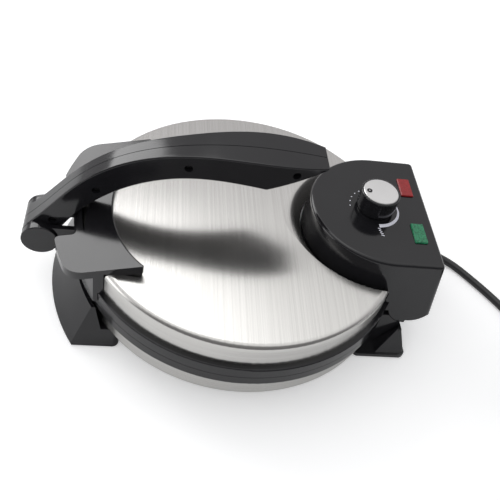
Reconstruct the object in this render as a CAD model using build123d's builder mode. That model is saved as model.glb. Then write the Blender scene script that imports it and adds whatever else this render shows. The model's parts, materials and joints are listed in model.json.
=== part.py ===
"""Electric roti maker: a hinged-lid countertop cooker, built as an assembly of separate pieces.

Units are millimetres. +Z is up and the floor is z = 0. The handle pivot is at the front (-X), the
control housing, the lid hinge and the mains lead are at the rear (+X). The model is symmetrical
about the plane y = 0, and the origin is below the middle of the object without its lead.
"""

import os
from math import acos, asin, atan2, cos, degrees, hypot, pi, radians, sin, sqrt, tan

from build123d import *

# ---------------------------------------------------------------- clearances
TOUCH_GAP = 0.3          # curved faces of different bodies that nearly touch
SEAM = 0.4               # parting line between lid and base
RUNNING = 0.05           # radial play of a turning shaft
EASE = 0.5               # loose fit of a piece in its opening
SKIN_GAP = 0.05          # bracket held just off the cover's skin

# ---------------------------------------------------------------- body levels and radii
RING_R = 130.0           # outer radius of both black rings
FRAME_BOTTOM = 1.0       # underside of the plastic base above the floor
DRUM_BOTTOM = 15.0
DRUM_INSET = 3.2         # drum's wall behind the rings' edge
DRUM_R = RING_R - DRUM_INSET
DRUM_FLANGE = 14.8       # inward flange under the drum
DRUM_CORNER = 5.0
SHEET = 0.8              # stainless sheet of drum and cover
PARTING = 43.3           # top of the lower ring
LOWER_RING_HEIGHT = 8.5
RING_BOTTOM = PARTING - LOWER_RING_HEIGHT
LID_BOTTOM = PARTING + SEAM
UPPER_RING_HEIGHT = 9.4
UPPER_RING_TOP = LID_BOTTOM + UPPER_RING_HEIGHT
COVER_INSET = 3.5        # cover's side behind the rings' edge
COVER_R = RING_R - COVER_INSET
COVER_SIDE = 21.5        # height of the cover's upright side
SHOULDER_Z = UPPER_RING_TOP + COVER_SIDE
CROWN_RISE = 4.4         # top of the cover above the corner of its side
COVER_TOP = SHOULDER_Z + CROWN_RISE
SHOULDER_FILLET = 5.0
COVER_DRAFT = 0.4        # how far the cover's side leans in over its height
RING_WALL = 2.4
RING_FLANGE = 3.0

# ---------------------------------------------------------------- heating plates
PLATE_MARGIN = 14.5      # ring's width outside its plate
PLATE_R = RING_R - PLATE_MARGIN
PLATE_LAP = 5.0          # plate's flange behind the ring
PLATE_FLANGE_R = PLATE_R + PLATE_LAP
PLATE_FLANGE = 2.0
PLATE_RECESS = 0.3       # plate face behind its ring's face
PLATE_THICK = 5.8
ELEMENT_INSET = 43.5     # element's circle inside the plate's edge
ELEMENT_R = PLATE_R - ELEMENT_INSET
ELEMENT_TUBE = 3.2
ELEMENT_GAP_DEG = 24.0
SHIELD_INSET = 7.5       # shield inside the plate's edge
SHIELD_R = PLATE_R - SHIELD_INSET
SHIELD_SHEET = 0.8
SHIELD_DROP = 11.5       # shield behind the back of its plate
STUD_R = 3.0
STUD_INSET = 20.5        # studs' circle inside the plate's edge
STUD_PITCH_R = PLATE_R - STUD_INSET
STUD_COUNT = 3

# ---------------------------------------------------------------- control housing
TOWER_RISE = 16.0        # panel above the cover's top
TOWER_TOP = COVER_TOP + TOWER_RISE
NOSE_INSET = 17.1        # centre of the round nose inside the cover's edge
NOSE_X = COVER_R - NOSE_INSET
NOSE_R = 60.3
HINGE_BEHIND = 6.0       # hinge pin behind the rings
HINGE_X = RING_R + HINGE_BEHIND
HINGE_ABOVE = 6.7        # hinge pin above the parting line
HINGE_Z = PARTING + HINGE_ABOVE
TOWER_BEHIND = 10.3      # panel's rear edge behind the hinge pin
TOWER_REAR = HINGE_X + TOWER_BEHIND
SIDE_DRAFT = 0.0556      # outward lean of the sides for each mm down
REAR_DRAFT = 0.13
HOUSING_WALL = 3.0
NOSE_LAP = 2.5           # nose below the cover's recess
CHEEK_DROP = 10.2        # cheeks below the hinge pin
CHEEK_BOTTOM = HINGE_Z - CHEEK_DROP
REAR_WALL_RISE = 4.0
REAR_WALL_BOTTOM = HINGE_Z + REAR_WALL_RISE
TOWER_CORNER = 4.0
TOWER_RIM = 3.0
RECESS_DROP = 8.6
RECESS_FLOOR = SHOULDER_Z - RECESS_DROP      # height at which the cover meets the nose
NOSE_BOTTOM = RECESS_FLOOR - NOSE_LAP
RECESS_GAP = 0.9
RECESS_ROUND = 8.0       # rounding of the recess's upper edge
RECESS_CREST = 0.6       # where the rounding ends below the cover's top
RECESS_BRIM = 14.0       # straight run-out of the rounding
CREST_LEAN = radians(5)
SEAM_TURN = radians(20)
RECESS_SPREAD = 10.0     # sideways reach of the recess at the cover's top

# ---------------------------------------------------------------- lid hinge
HINGE_PIN_R = 2.5
KNUCKLE_R = 17.5
SWEEP_R = 20.2           # cheek corner in front of the pedestal
EAR_R = 8.0
EAR_INNER = 50.0
EAR_THICK = 6.0
EAR_GAP = 0.5
PIN_BOSS_R = 6.0
PIN_REACH = 60.5         # half length of the hinge pin
PEDESTAL_INSET = 5.5     # pedestal's rear face in front of the hinge pin
PEDESTAL_REAR = HINGE_X - PEDESTAL_INSET
PEDESTAL_DEPTH = 40.5
PEDESTAL_FLOOR = 20.5    # depth of its floor
EAR_DEPTH = 9.0
PEDESTAL_BOTTOM = 4.5
PEDESTAL_WALL = 4.0

# ---------------------------------------------------------------- base frame and feet
TRAY_INSET = 8.8         # tray inside the drum's wall
TRAY_R = DRUM_R - TRAY_INSET
TRAY_THICK = 3.0
FOOT_WALL = 2.6
FOOT_GAP = 2.3           # feet below the lower ring
FOOT_TOP = RING_BOTTOM - FOOT_GAP
FRONT_RIM_GAP = 2.8      # foot's upper edge outside the ring
FRONT_RIM_R = RING_R + FRONT_RIM_GAP
FRONT_FOOT_FLARE = 18.7
FRONT_FOOT_R = FRONT_RIM_R + FRONT_FOOT_FLARE
FRONT_FOOT_HALF = 81.0
FRONT_FOOT_DEPTH = 58.5
FRONT_FOOT_BACK = FRONT_FOOT_DEPTH - FRONT_FOOT_R
FOOT_SIDE_LEAN = 0.42
REAR_FOOT_HALF = 79.0
REAR_FOOT_BEHIND = 10.5  # rear foot behind the pedestal
REAR_FOOT_REAR = PEDESTAL_REAR + REAR_FOOT_BEHIND
REAR_FOOT_DEPTH = 45.0
REAR_FOOT_FRONT = REAR_FOOT_REAR - REAR_FOOT_DEPTH
REAR_FOOT_TOP = 27.0
RIB_DEPTH = 13.0
RIB_INSIDE = 3.3         # rib box inside the housing's width
RIB_WIDTH = 2 * (NOSE_R - RIB_INSIDE)
RIB_WALL = 2.5
PAD_R = 6.0
PAD_HEIGHT = 3.0
FRONT_PAD_BACK = 33.5    # pads inside the edges of their feet
FRONT_PAD_IN = 21.0
REAR_PAD_BACK = 10.0
REAR_PAD_IN = 8.0

# ---------------------------------------------------------------- front bracket and pivot
HOOD_INSIDE = 22.5       # hood's reach over the cover
HOOD_INNER_R = COVER_R - HOOD_INSIDE
HOOD_OUTSIDE = 21.5      # hood's reach beyond the cover
HOOD_OUTER_R = COVER_R + HOOD_OUTSIDE
HOOD_HALF = 70.0
HOOD_DROP = 0.8575       # sloping top plane below the cover's corner, at the cover's edge
HOOD_EDGE_Z = SHOULDER_Z - HOOD_DROP
HOOD_SLOPE = 0.255
HOOD_THICK = 7.4
HOOD_WALL = 2.8
NOTCH_HALF = 32.0
NOTCH_DEPTH = 19.0
NOTCH_X = NOTCH_DEPTH - HOOD_OUTER_R
BRACKET_WALL = 3.0       # bracket's band outside the ring
BRACKET_R = RING_R + BRACKET_WALL
BRACKET_SKIN = 2.6
PIVOT_AHEAD = 28.0       # pivot pin in front of the rings
PIVOT_X = -RING_R - PIVOT_AHEAD
PIVOT_ABOVE = 5.2        # pivot pin above the parting line
PIVOT_Z = PARTING + PIVOT_ABOVE
HUB_R = 14.0
HUB_HALF = 12.0
LUG_THICK = 4.0
CAP_THICK = 2.2
PIVOT_PIN_R = 3.0

# ---------------------------------------------------------------- handle, from its pivot pin
HANDLE_TOP = [(-10.4, 9.4), (5.0, 26.8), (30.0, 55.6), (58.0, 76.1), (107.0, 91.9), (158.0, 95.9),
              (208.0, 92.4)]
HANDLE_TIP = (207.0, 91.1)
HANDLE_BELLY = (163.0, 71.9)
HANDLE_BOTTOM = [(134.0, 73.7), (94.1, 67.7), (52.0, 47.1), (27.0, 23.5), (12.0, 1.5)]
HANDLE_PLAN = [(-16.0, 12.0), (58.0, 10.0), (107.0, 13.0), (158.0, 18.5), (210.0, 12.0)]
HANDLE_WALL = 3.0
CAVITY_END = (177.0, 92.1)      # the hollow ends before the thin tip
CAVITY_CORNER = (177.0, 81.3)
HANDLE_EDGE = 1.2
HANDLE_SCREWS = [(9.2, 15.5), (41.5, 49.1), (106.5, 80.9), (184.0, 87.1)]
SCREW_RECESS_R = 3.1
SCREW_RECESS_DEPTH = 4.0
SCREW_HEAD_R = 2.6
SCREW_HEAD = 1.8
SCREW_SHANK_R = 1.5

# ---------------------------------------------------------------- control panel
KNOB_AHEAD = 8.4         # knob in front of the nose's centre
KNOB_X = NOSE_X - KNOB_AHEAD
KNOB_R = 15.6
KNOB_RISE = 17.2         # knob's rim above the panel
KNOB_TOP = TOWER_TOP + KNOB_RISE
KNOB_GAP = 0.6
COLLAR_STEP = 1.4
COLLAR_R = KNOB_R - COLLAR_STEP
COLLAR_HEIGHT = 3.4
CAP_STEP = 1.6
CAP_R = KNOB_R - CAP_STEP
CAP_HEIGHT = 1.2
SHAFT_R = 3.0
SHAFT_COVER = 4.7        # knob above the end of its shaft
SHAFT_TOP = KNOB_TOP - SHAFT_COVER
SHAFT_DROP = 15.0        # shaft below the panel's top
SHAFT_BOTTOM = TOWER_TOP - SHAFT_DROP
THERMOSTAT_SIZE = 34.0
THERMOSTAT_HEIGHT = 20.0
BUSHING_R = 4.8
LAMP_AHEAD = 14.0        # lamps in front of the panel's rear edge
LAMP_X = TOWER_REAR - LAMP_AHEAD
LAMP_Y = 26.2
LAMP_LONG = 20.4
LAMP_WIDE = 10.4
LAMP_PROUD = 1.4
LAMP_STEM = 2.2          # how much smaller the stem is than the lens, in all
LAMP_BODY_HEIGHT = 9.0
CLOSING_RISE = 10.0      # plate that closes the housing, above the hinge pin
CLOSING_Z = HINGE_Z + CLOSING_RISE
CLOSING_THICK = 2.5
CLOSING_BACK = 3.6
CLOSING_FRONT = NOSE_X + CLOSING_BACK

# ---------------------------------------------------------------- mains lead
CORD_D = 7.0
RELIEF_LENGTH = 22.0
RELIEF_ROOT_R = 6.5
RELIEF_TIP_R = 4.6
EXIT_INSET = 2.0         # root of the strain relief inside the rear foot's edge
EXIT_Y = 44.6
EXIT_Z = 11.8
ROUTE = [(59.2, 44.6), (99.0, -5.5), (117.0, -38.0), (117.0, -70.0)]    # from the rear foot
COIL_TURNS = [46.0, 42.1, 38.2, 34.3, 24.5, 34.3, 38.2, 42.1, 46.0]
COIL_RISE = 10.0
PLUG_SLEEVE = 28.0
PLUG_LENGTH = 34.0
PLUG_WIDE = 30.0
PLUG_HIGH = 27.0

# The lid's axis is moved along X so that the origin is under the middle of the object.
AXIS_X = (HUB_R - PIVOT_X - TOWER_REAR - REAR_DRAFT * (TOWER_TOP - CHEEK_BOTTOM)) / 2

GROUND = Plane(origin=(AXIS_X, 0, 0), x_dir=(1, 0, 0), z_dir=(0, 0, 1))
SIDE = Plane(origin=(AXIS_X, 0, 0), x_dir=(1, 0, 0), z_dir=(0, -1, 0))
LEVER_PLAN = Plane(origin=(AXIS_X + PIVOT_X, 0, 0), x_dir=(1, 0, 0), z_dir=(0, 0, 1))
LEVER_SIDE = Plane(origin=(AXIS_X + PIVOT_X, 0, PIVOT_Z), x_dir=(1, 0, 0), z_dir=(0, -1, 0))


def level(z):
    """Horizontal workplane at a height above the floor, centred on the lid's axis."""
    return GROUND.offset(z)


def at(x, y, z):
    """Location given from the lid's axis."""
    return Location((AXIS_X + x, y, z))


def side_half(z):
    """Half width of the control housing at a height."""
    return NOSE_R + SIDE_DRAFT * (TOWER_TOP - z)


def rear_face(z):
    """Rear face of the control housing at a height."""
    return TOWER_REAR + REAR_DRAFT * (TOWER_TOP - z)


def hood_top(x):
    """Height of the front bracket's sloping top."""
    return HOOD_EDGE_Z + HOOD_SLOPE * (x + COVER_R)


def profile(*points):
    """Closed polygon drawn in the side view."""
    with BuildSketch(SIDE) as drawing:
        with BuildLine():
            Polyline(*points, close=True)
        make_face()
    return drawing.sketch


def tower_outline(z, grow=0.0):
    """D-shaped section of the control housing, moved out by an offset."""
    half = side_half(z) + grow
    rear = rear_face(z) + grow
    with BuildSketch(level(z)) as outline:
        with BuildLine():
            ThreePointArc((NOSE_X, -half), (NOSE_X - half, 0), (NOSE_X, half))
            Polyline((NOSE_X, half), (rear, half), (rear, -half), (NOSE_X, -half))
        make_face()
    return outline.sketch


def tower_block(bottom, top, grow=0.0):
    """Leaning block of the control housing between two heights."""
    with BuildPart() as block:
        loft([tower_outline(bottom, grow), tower_outline(top, grow)], ruled=True)
    return block.part


LID_AXIS = Axis((AXIS_X, 0, 0), (0, 0, 1))
STAND = (Align.CENTER, Align.CENTER, Align.MIN)
HANG = (Align.CENTER, Align.CENTER, Align.MAX)


# ================================================================ base
def foot_sides(half, front, rear, thin, corner):
    """Block whose sides lean in with height, for trimming a foot."""
    low, high = FRAME_BOTTOM - 1, FOOT_TOP + 10
    with BuildPart() as block:
        with BuildSketch(level(low)):
            with Locations(((front + rear) / 2, 0)):
                RectangleRounded(rear - front - 2 * thin, 2 * (half - thin), corner)
        with BuildSketch(level(high)):
            with Locations(((front + rear) / 2, 0)):
                RectangleRounded(rear - front - 2 * thin,
                                 2 * (half - thin - FOOT_SIDE_LEAN * (high - low)), corner)
        loft(ruled=True)
    return block.part


def turned(points):
    """Solid turned about the lid's axis from a side-view polygon."""
    with BuildPart() as solid:
        revolve(profile(*points), axis=LID_AXIS)
    return solid.part


TRAY_BOTTOM = DRUM_BOTTOM - TRAY_THICK
PEDESTAL_ARC = SWEEP_R + SEAM
EXIT_POINT = Vector(AXIS_X + REAR_FOOT_REAR - EXIT_INSET, EXIT_Y, EXIT_Z)
ROUTE_POINTS = [Vector(AXIS_X + REAR_FOOT_REAR + x, y, CORD_D / 2) for x, y in ROUTE]
EXIT_AIM = (ROUTE_POINTS[0] - EXIT_POINT).normalized()
EXIT_PLANE = Plane(origin=EXIT_POINT, x_dir=(0, 1, 0), z_dir=EXIT_AIM)
FRONT_FOOT_TRIM = -FRONT_FOOT_R - 18.5
FRONT_PADS = [(FRONT_PAD_BACK - FRONT_FOOT_R, side * (FRONT_FOOT_HALF - FRONT_PAD_IN))
              for side in (-1, 1)]
REAR_PADS = [(REAR_FOOT_REAR - REAR_PAD_BACK, side * (REAR_FOOT_HALF - REAR_PAD_IN))
             for side in (-1, 1)]

with BuildPart() as base_frame:
    add(turned([(60, FRAME_BOTTOM), (FRONT_FOOT_R, FRAME_BOTTOM), (FRONT_FOOT_R, FRAME_BOTTOM + 1.5),
                (FRONT_RIM_R, FOOT_TOP), (60, FOOT_TOP)]))
    add(foot_sides(FRONT_FOOT_HALF, FRONT_FOOT_TRIM, FRONT_FOOT_BACK, 0, 5.0), mode=Mode.INTERSECT)
    with BuildPart(mode=Mode.SUBTRACT):
        add(turned([(50, FRAME_BOTTOM - 5), (FRONT_FOOT_R - FOOT_WALL, FRAME_BOTTOM - 5),
                    (FRONT_FOOT_R - FOOT_WALL, FRAME_BOTTOM + 1.0),
                    (FRONT_RIM_R - FOOT_WALL, FOOT_TOP + 0.5), (50, FOOT_TOP + 0.5)]))
        add(foot_sides(FRONT_FOOT_HALF, FRONT_FOOT_TRIM, FRONT_FOOT_BACK, FOOT_WALL, 3.0),
            mode=Mode.INTERSECT)
        with Locations(at(0, 0, TRAY_BOTTOM)):
            Cylinder(FRONT_FOOT_R, TRAY_THICK, align=STAND, mode=Mode.SUBTRACT)
    # The rear foot is a flange with a flared skirt behind the hinge.
    with BuildSketch(level(FRAME_BOTTOM)):
        with Locations(((REAR_FOOT_FRONT + REAR_FOOT_REAR) / 2, 0)):
            RectangleRounded(REAR_FOOT_REAR - REAR_FOOT_FRONT, 2 * REAR_FOOT_HALF, 5.0)
    extrude(amount=PEDESTAL_BOTTOM - FRAME_BOTTOM)
    extrude(profile((REAR_FOOT_REAR, FRAME_BOTTOM), (PEDESTAL_REAR + 2, REAR_FOOT_TOP),
                    (PEDESTAL_REAR + TOUCH_GAP, REAR_FOOT_TOP),
                    (PEDESTAL_REAR + TOUCH_GAP, 12.0), (PEDESTAL_REAR + 6, FRAME_BOTTOM)),
            amount=REAR_FOOT_HALF - 10, both=True)
    for side in (-1, 1):
        with BuildPart(mode=Mode.ADD):
            extrude(profile((PEDESTAL_REAR - 18, FRAME_BOTTOM), (REAR_FOOT_REAR, FRAME_BOTTOM),
                            (PEDESTAL_REAR + 2, REAR_FOOT_TOP), (PEDESTAL_REAR, REAR_FOOT_TOP)),
                    amount=-side * REAR_FOOT_HALF)
            with Locations(at(0, 0, 0)):
                Box(400, 2 * (side_half(FRAME_BOTTOM) + TOUCH_GAP), 200, mode=Mode.SUBTRACT)
            add(foot_sides(REAR_FOOT_HALF, 60, REAR_FOOT_REAR, 0, 5.0), mode=Mode.INTERSECT)
    # Tray under the drum, with a rib box down to the rear flange.
    with Locations(at(0, 0, TRAY_BOTTOM)):
        Cylinder(TRAY_R, TRAY_THICK, align=STAND)
    with Locations(at(REAR_FOOT_FRONT + RIB_DEPTH / 2, 0, FRAME_BOTTOM)):
        Box(RIB_DEPTH, RIB_WIDTH, DRUM_BOTTOM - FRAME_BOTTOM - 1, align=STAND)
        Box(RIB_DEPTH - 2 * RIB_WALL, RIB_WIDTH - 2 * RIB_WALL, TRAY_BOTTOM - FRAME_BOTTOM - 1,
            align=STAND, mode=Mode.SUBTRACT)
    # Bosses for the rubber feet, the tray's air slots and the lead's exit.
    for x, y in FRONT_PADS:
        with Locations(at(x, y, FRAME_BOTTOM)):
            Cylinder(PAD_R + 2, TRAY_BOTTOM - FRAME_BOTTOM + 1, align=STAND)
    for x, y in FRONT_PADS + REAR_PADS:
        with Locations(at(x, y, 0)):
            Cylinder(PAD_R, PAD_HEIGHT, align=STAND, mode=Mode.SUBTRACT)
    with Locations(at(0, 0, TRAY_BOTTOM)):
        with PolarLocations(60, 10):
            Box(34, 5, 3 * TRAY_THICK, mode=Mode.SUBTRACT)
    with Locations(EXIT_PLANE):
        Cylinder(RELIEF_ROOT_R + 2.5, 6.8, align=HANG)
        Cylinder(RELIEF_ROOT_R, 30, mode=Mode.SUBTRACT)
    with Locations(at(0, 0, DRUM_BOTTOM)):
        Cylinder(RING_R + TOUCH_GAP, 60, align=STAND, mode=Mode.SUBTRACT)

with BuildPart() as rubber_feet:
    for x, y in FRONT_PADS + REAR_PADS:
        with Locations(at(x, y, 0)):
            Cylinder(PAD_R, PAD_HEIGHT, align=STAND)
    chamfer(rubber_feet.edges().group_by(Axis.Z)[0], 0.6)

RING_SKIRT_R = RING_R - RING_WALL
FLANGE_BOTTOM = PARTING - RING_FLANGE
DRUM_FLANGE_R = DRUM_R - DRUM_FLANGE
with BuildPart() as base_drum:
    add(turned([(DRUM_FLANGE_R, DRUM_BOTTOM), (DRUM_R, DRUM_BOTTOM), (DRUM_R, FLANGE_BOTTOM),
                (DRUM_FLANGE_R, FLANGE_BOTTOM)]))
    fillet(base_drum.edges().group_by(Axis.Z)[0].sort_by(SortBy.LENGTH)[-1], DRUM_CORNER)
    with BuildPart(mode=Mode.SUBTRACT) as drum_inside:
        add(turned([(DRUM_FLANGE_R - 1, DRUM_BOTTOM + SHEET), (DRUM_R - SHEET, DRUM_BOTTOM + SHEET),
                    (DRUM_R - SHEET, FLANGE_BOTTOM + 1), (DRUM_FLANGE_R - 1, FLANGE_BOTTOM + 1)]))
        fillet(drum_inside.edges().group_by(Axis.Z)[0].sort_by(SortBy.LENGTH)[-1],
               DRUM_CORNER - SHEET)

PLATE_OPENING = PLATE_R + EASE
with BuildPart() as lower_ring:
    add(turned([(PLATE_OPENING, PARTING), (RING_R, PARTING), (RING_R, RING_BOTTOM),
                (RING_SKIRT_R, RING_BOTTOM), (RING_SKIRT_R, FLANGE_BOTTOM),
                (PLATE_OPENING, FLANGE_BOTTOM)]))
    fillet(lower_ring.edges().group_by(Axis.Z)[0].sort_by(SortBy.LENGTH)[-1], 1.0)

LOWER_FACE = PARTING - PLATE_RECESS
LOWER_BACK = LOWER_FACE - PLATE_THICK
with BuildPart() as lower_heating_plate:
    with Locations(at(0, 0, LOWER_BACK)):
        Cylinder(PLATE_R, PLATE_THICK, align=STAND)
    chamfer(lower_heating_plate.edges().group_by(Axis.Z)[-1], 0.8)
    with Locations(at(0, 0, FLANGE_BOTTOM)):
        Cylinder(PLATE_FLANGE_R, PLATE_FLANGE, align=HANG)


def heating_element(centre_z, leg):
    """Bent tube whose two legs turn away from the plate."""
    gap = radians(ELEMENT_GAP_DEG / 2)
    start = (AXIS_X + ELEMENT_R * cos(gap), ELEMENT_R * sin(gap), centre_z)
    with BuildPart() as element:
        with BuildLine(level(centre_z)) as bend:
            CenterArc((0, 0), ELEMENT_R, ELEMENT_GAP_DEG / 2, 360 - ELEMENT_GAP_DEG)
        with BuildSketch(Plane(origin=start, x_dir=(0, 0, 1), z_dir=(-sin(gap), cos(gap), 0))):
            Circle(ELEMENT_TUBE)
        sweep(path=bend.line)
        for side in (-1, 1):
            with Locations((start[0], side * start[1], centre_z)):
                Sphere(ELEMENT_TUBE)
                Cylinder(ELEMENT_TUBE, abs(leg), align=HANG if leg < 0 else STAND)
    return element.part


with BuildPart() as lower_heating_element:
    add(heating_element(LOWER_BACK - ELEMENT_TUBE, -7.0))

SHIELD_HOLE = STUD_R + 1.0
LOWER_SHIELD = LOWER_BACK - SHIELD_DROP
with BuildPart() as lower_heat_shield:
    add(turned([(0, LOWER_SHIELD), (SHIELD_R, LOWER_SHIELD), (SHIELD_R, LOWER_SHIELD + 5),
                (SHIELD_R - SHIELD_SHEET, LOWER_SHIELD + 5),
                (SHIELD_R - SHIELD_SHEET, LOWER_SHIELD + SHIELD_SHEET),
                (0, LOWER_SHIELD + SHIELD_SHEET)]))
    with Locations(at(0, 0, LOWER_SHIELD)):
        with PolarLocations(STUD_PITCH_R, STUD_COUNT, start_angle=60):
            Cylinder(SHIELD_HOLE, SHIELD_DROP, mode=Mode.SUBTRACT)

with BuildPart() as lower_plate_studs:
    with Locations(at(0, 0, DRUM_BOTTOM)):
        with PolarLocations(STUD_PITCH_R, STUD_COUNT, start_angle=60):
            Cylinder(STUD_R, LOWER_BACK - DRUM_BOTTOM, align=STAND)
            Cylinder(STUD_R + 3, LOWER_SHIELD - DRUM_BOTTOM, align=STAND)

SCREW_INSET = 2.3        # screws inside the edge of the plate's flange
SCREW_CIRCLE_R = PLATE_FLANGE_R - SCREW_INSET
SMALL_SCREW_R = 1.5
SMALL_HEAD_R = 2.2
SMALL_HEAD = 1.6


def ring_screws(head_z, into):
    """Four small screws that hold a plate's flange to its ring."""
    with BuildPart() as screws:
        with Locations(at(0, 0, head_z)):
            with PolarLocations(SCREW_CIRCLE_R, 4, start_angle=45):
                Cylinder(SMALL_HEAD_R, SMALL_HEAD, align=HANG if into > 0 else STAND)
                Cylinder(SMALL_SCREW_R, abs(into), align=STAND if into > 0 else HANG)
    return screws.part


LOWER_FLANGE_FACE = FLANGE_BOTTOM - PLATE_FLANGE
with BuildPart() as lower_plate_screws:
    add(ring_screws(LOWER_FLANGE_FACE, PLATE_FLANGE + 2.0))
for drilled in (lower_heating_plate, lower_ring):
    with drilled:
        add(lower_plate_screws.part, mode=Mode.SUBTRACT)

with BuildPart() as base_screws:
    with Locations(at(0, 0, TRAY_BOTTOM)):
        with PolarLocations(STUD_PITCH_R, STUD_COUNT, start_angle=60):
            Cylinder(4.0, 2.2, align=HANG)
            Cylinder(1.8, TRAY_THICK + 5, align=STAND)
for drilled in (base_frame, lower_plate_studs):
    with drilled:
        add(base_screws.part, mode=Mode.SUBTRACT)

TERMINAL_X = SHIELD_R - 36.0
TERMINAL_Y = 34.0
TERMINAL_LONG = 30.0
TERMINAL_WIDE = 16.0
TERMINAL_HIGH = 8.5
TERMINAL_PITCH = 9.0
with BuildPart() as terminal_block:
    with Locations(at(TERMINAL_X, TERMINAL_Y, DRUM_BOTTOM)):
        Box(TERMINAL_WIDE, TERMINAL_LONG, TERMINAL_HIGH, align=STAND)
        with Locations([(0, step * TERMINAL_PITCH, TERMINAL_HIGH) for step in (-1, 0, 1)]):
            Cylinder(2.4, 5, mode=Mode.SUBTRACT)

EAR_ROOT = PEDESTAL_REAR - EAR_DEPTH
with BuildPart() as hinge_bracket:
    low, high = PEDESTAL_BOTTOM, HINGE_Z
    front = PEDESTAL_REAR - PEDESTAL_DEPTH
    add(tower_block(low, high))
    add(tower_block(low - 1, high + 1, -PEDESTAL_WALL), mode=Mode.SUBTRACT)
    with BuildPart(mode=Mode.INTERSECT):
        extrude(profile((front, low - 2), (PEDESTAL_REAR, low - 2), (PEDESTAL_REAR, high - 12),
                        (front, high - 12)), amount=80, both=True)
        with Locations(at(HINGE_X, 0, HINGE_Z)):
            Cylinder(PEDESTAL_ARC, 200, rotation=(90, 0, 0), mode=Mode.SUBTRACT)
    with Locations(at(PEDESTAL_REAR - PEDESTAL_FLOOR, 0, PEDESTAL_BOTTOM)):
        Box(PEDESTAL_FLOOR, 2 * side_half(10) - 4, 3.5,
            align=(Align.MIN, Align.CENTER, Align.MIN))
    for side in (-1, 1):
        middle = side * (EAR_INNER + EAR_THICK / 2)
        with Locations(at(HINGE_X, middle, HINGE_Z)):
            Cylinder(EAR_R, EAR_THICK, rotation=(90, 0, 0))
        with BuildSketch(SIDE.offset(-middle)):
            with BuildLine():
                Polyline((EAR_ROOT, PEDESTAL_BOTTOM), (PEDESTAL_REAR, PEDESTAL_BOTTOM),
                         (PEDESTAL_REAR, REAR_FOOT_TOP), (HINGE_X + 1, HINGE_Z - EAR_R),
                         (HINGE_X, HINGE_Z), (HINGE_X - EAR_R, HINGE_Z + 1),
                         (EAR_ROOT, HINGE_Z - 2 * EAR_R), close=True)
            make_face()
        extrude(amount=EAR_THICK / 2, both=True)
        with Locations(at(EAR_ROOT, side * (EAR_INNER + EAR_DEPTH), PEDESTAL_BOTTOM)):
            Box(EAR_DEPTH, 7, 22, align=(Align.MIN, Align.CENTER, Align.MIN))
    with Locations(at(HINGE_X, 0, HINGE_Z)):
        Cylinder(HINGE_PIN_R, 200, rotation=(90, 0, 0), mode=Mode.SUBTRACT)
    with Locations(at(0, 0, RING_BOTTOM - TOUCH_GAP)):
        Cylinder(RING_R + TOUCH_GAP, 60, align=STAND, mode=Mode.SUBTRACT)
    with Locations(at(0, 0, DRUM_BOTTOM - TOUCH_GAP)):
        Cylinder(DRUM_R + TOUCH_GAP, 60, align=STAND, mode=Mode.SUBTRACT)
    with Locations(at(0, 0, TRAY_BOTTOM - TOUCH_GAP)):
        Cylinder(TRAY_R + TOUCH_GAP, 60, align=STAND, mode=Mode.SUBTRACT)

with BuildPart() as hinge_pin:
    with Locations(at(HINGE_X, 0, HINGE_Z)):
        Cylinder(HINGE_PIN_R, 2 * PIN_REACH, rotation=(90, 0, 0))
    chamfer(hinge_pin.edges().filter_by(GeomType.CIRCLE), 0.5)


# ================================================================ lid
UPPER_FACE = LID_BOTTOM + PLATE_RECESS
UPPER_BACK = UPPER_FACE + PLATE_THICK
FLANGE_TOP = LID_BOTTOM + RING_FLANGE
with BuildPart() as upper_ring:
    add(turned([(PLATE_OPENING, LID_BOTTOM), (RING_R, LID_BOTTOM), (RING_R, UPPER_RING_TOP),
                (COVER_R - 3, UPPER_RING_TOP), (COVER_R - 3, UPPER_RING_TOP - 2.2),
                (RING_SKIRT_R, UPPER_RING_TOP - 2.2), (RING_SKIRT_R, FLANGE_TOP),
                (PLATE_OPENING, FLANGE_TOP)]))
    fillet(upper_ring.edges().group_by(Axis.Z)[-1].sort_by(SortBy.LENGTH)[-1], 1.2)

with BuildPart() as upper_heating_plate:
    with Locations(at(0, 0, UPPER_BACK)):
        Cylinder(PLATE_R, PLATE_THICK, align=HANG)
    chamfer(upper_heating_plate.edges().group_by(Axis.Z)[0], 0.8)
    with Locations(at(0, 0, FLANGE_TOP)):
        Cylinder(PLATE_FLANGE_R, PLATE_FLANGE, align=STAND)

with BuildPart() as upper_plate_screws:
    add(ring_screws(FLANGE_TOP + PLATE_FLANGE, -PLATE_FLANGE - 2.0))
for drilled in (upper_heating_plate, upper_ring):
    with drilled:
        add(upper_plate_screws.part, mode=Mode.SUBTRACT)

with BuildPart() as upper_heating_element:
    add(heating_element(UPPER_BACK + ELEMENT_TUBE, 7.0))

UPPER_SHIELD = UPPER_BACK + SHIELD_DROP
with BuildPart() as upper_heat_shield:
    add(turned([(0, UPPER_SHIELD + SHIELD_SHEET), (SHIELD_R, UPPER_SHIELD + SHIELD_SHEET),
                (SHIELD_R, UPPER_SHIELD - 5), (SHIELD_R - SHIELD_SHEET, UPPER_SHIELD - 5),
                (SHIELD_R - SHIELD_SHEET, UPPER_SHIELD), (0, UPPER_SHIELD)]))

with BuildPart() as upper_plate_studs:
    with Locations(at(0, 0, UPPER_BACK)):
        with PolarLocations(STUD_PITCH_R, STUD_COUNT, start_angle=60):
            Cylinder(STUD_R, SHIELD_DROP, align=STAND)


NOSE_PLANE = Plane(origin=(AXIS_X + NOSE_X, 0, 0), x_dir=(0, 1, 0), z_dir=(1, 0, 0))
NOSE_AXIS = Axis((AXIS_X + NOSE_X, 0, 0), (0, 0, 1))
FLARE = atan2(COVER_TOP - RECESS_FLOOR, RECESS_SPREAD)
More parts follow.
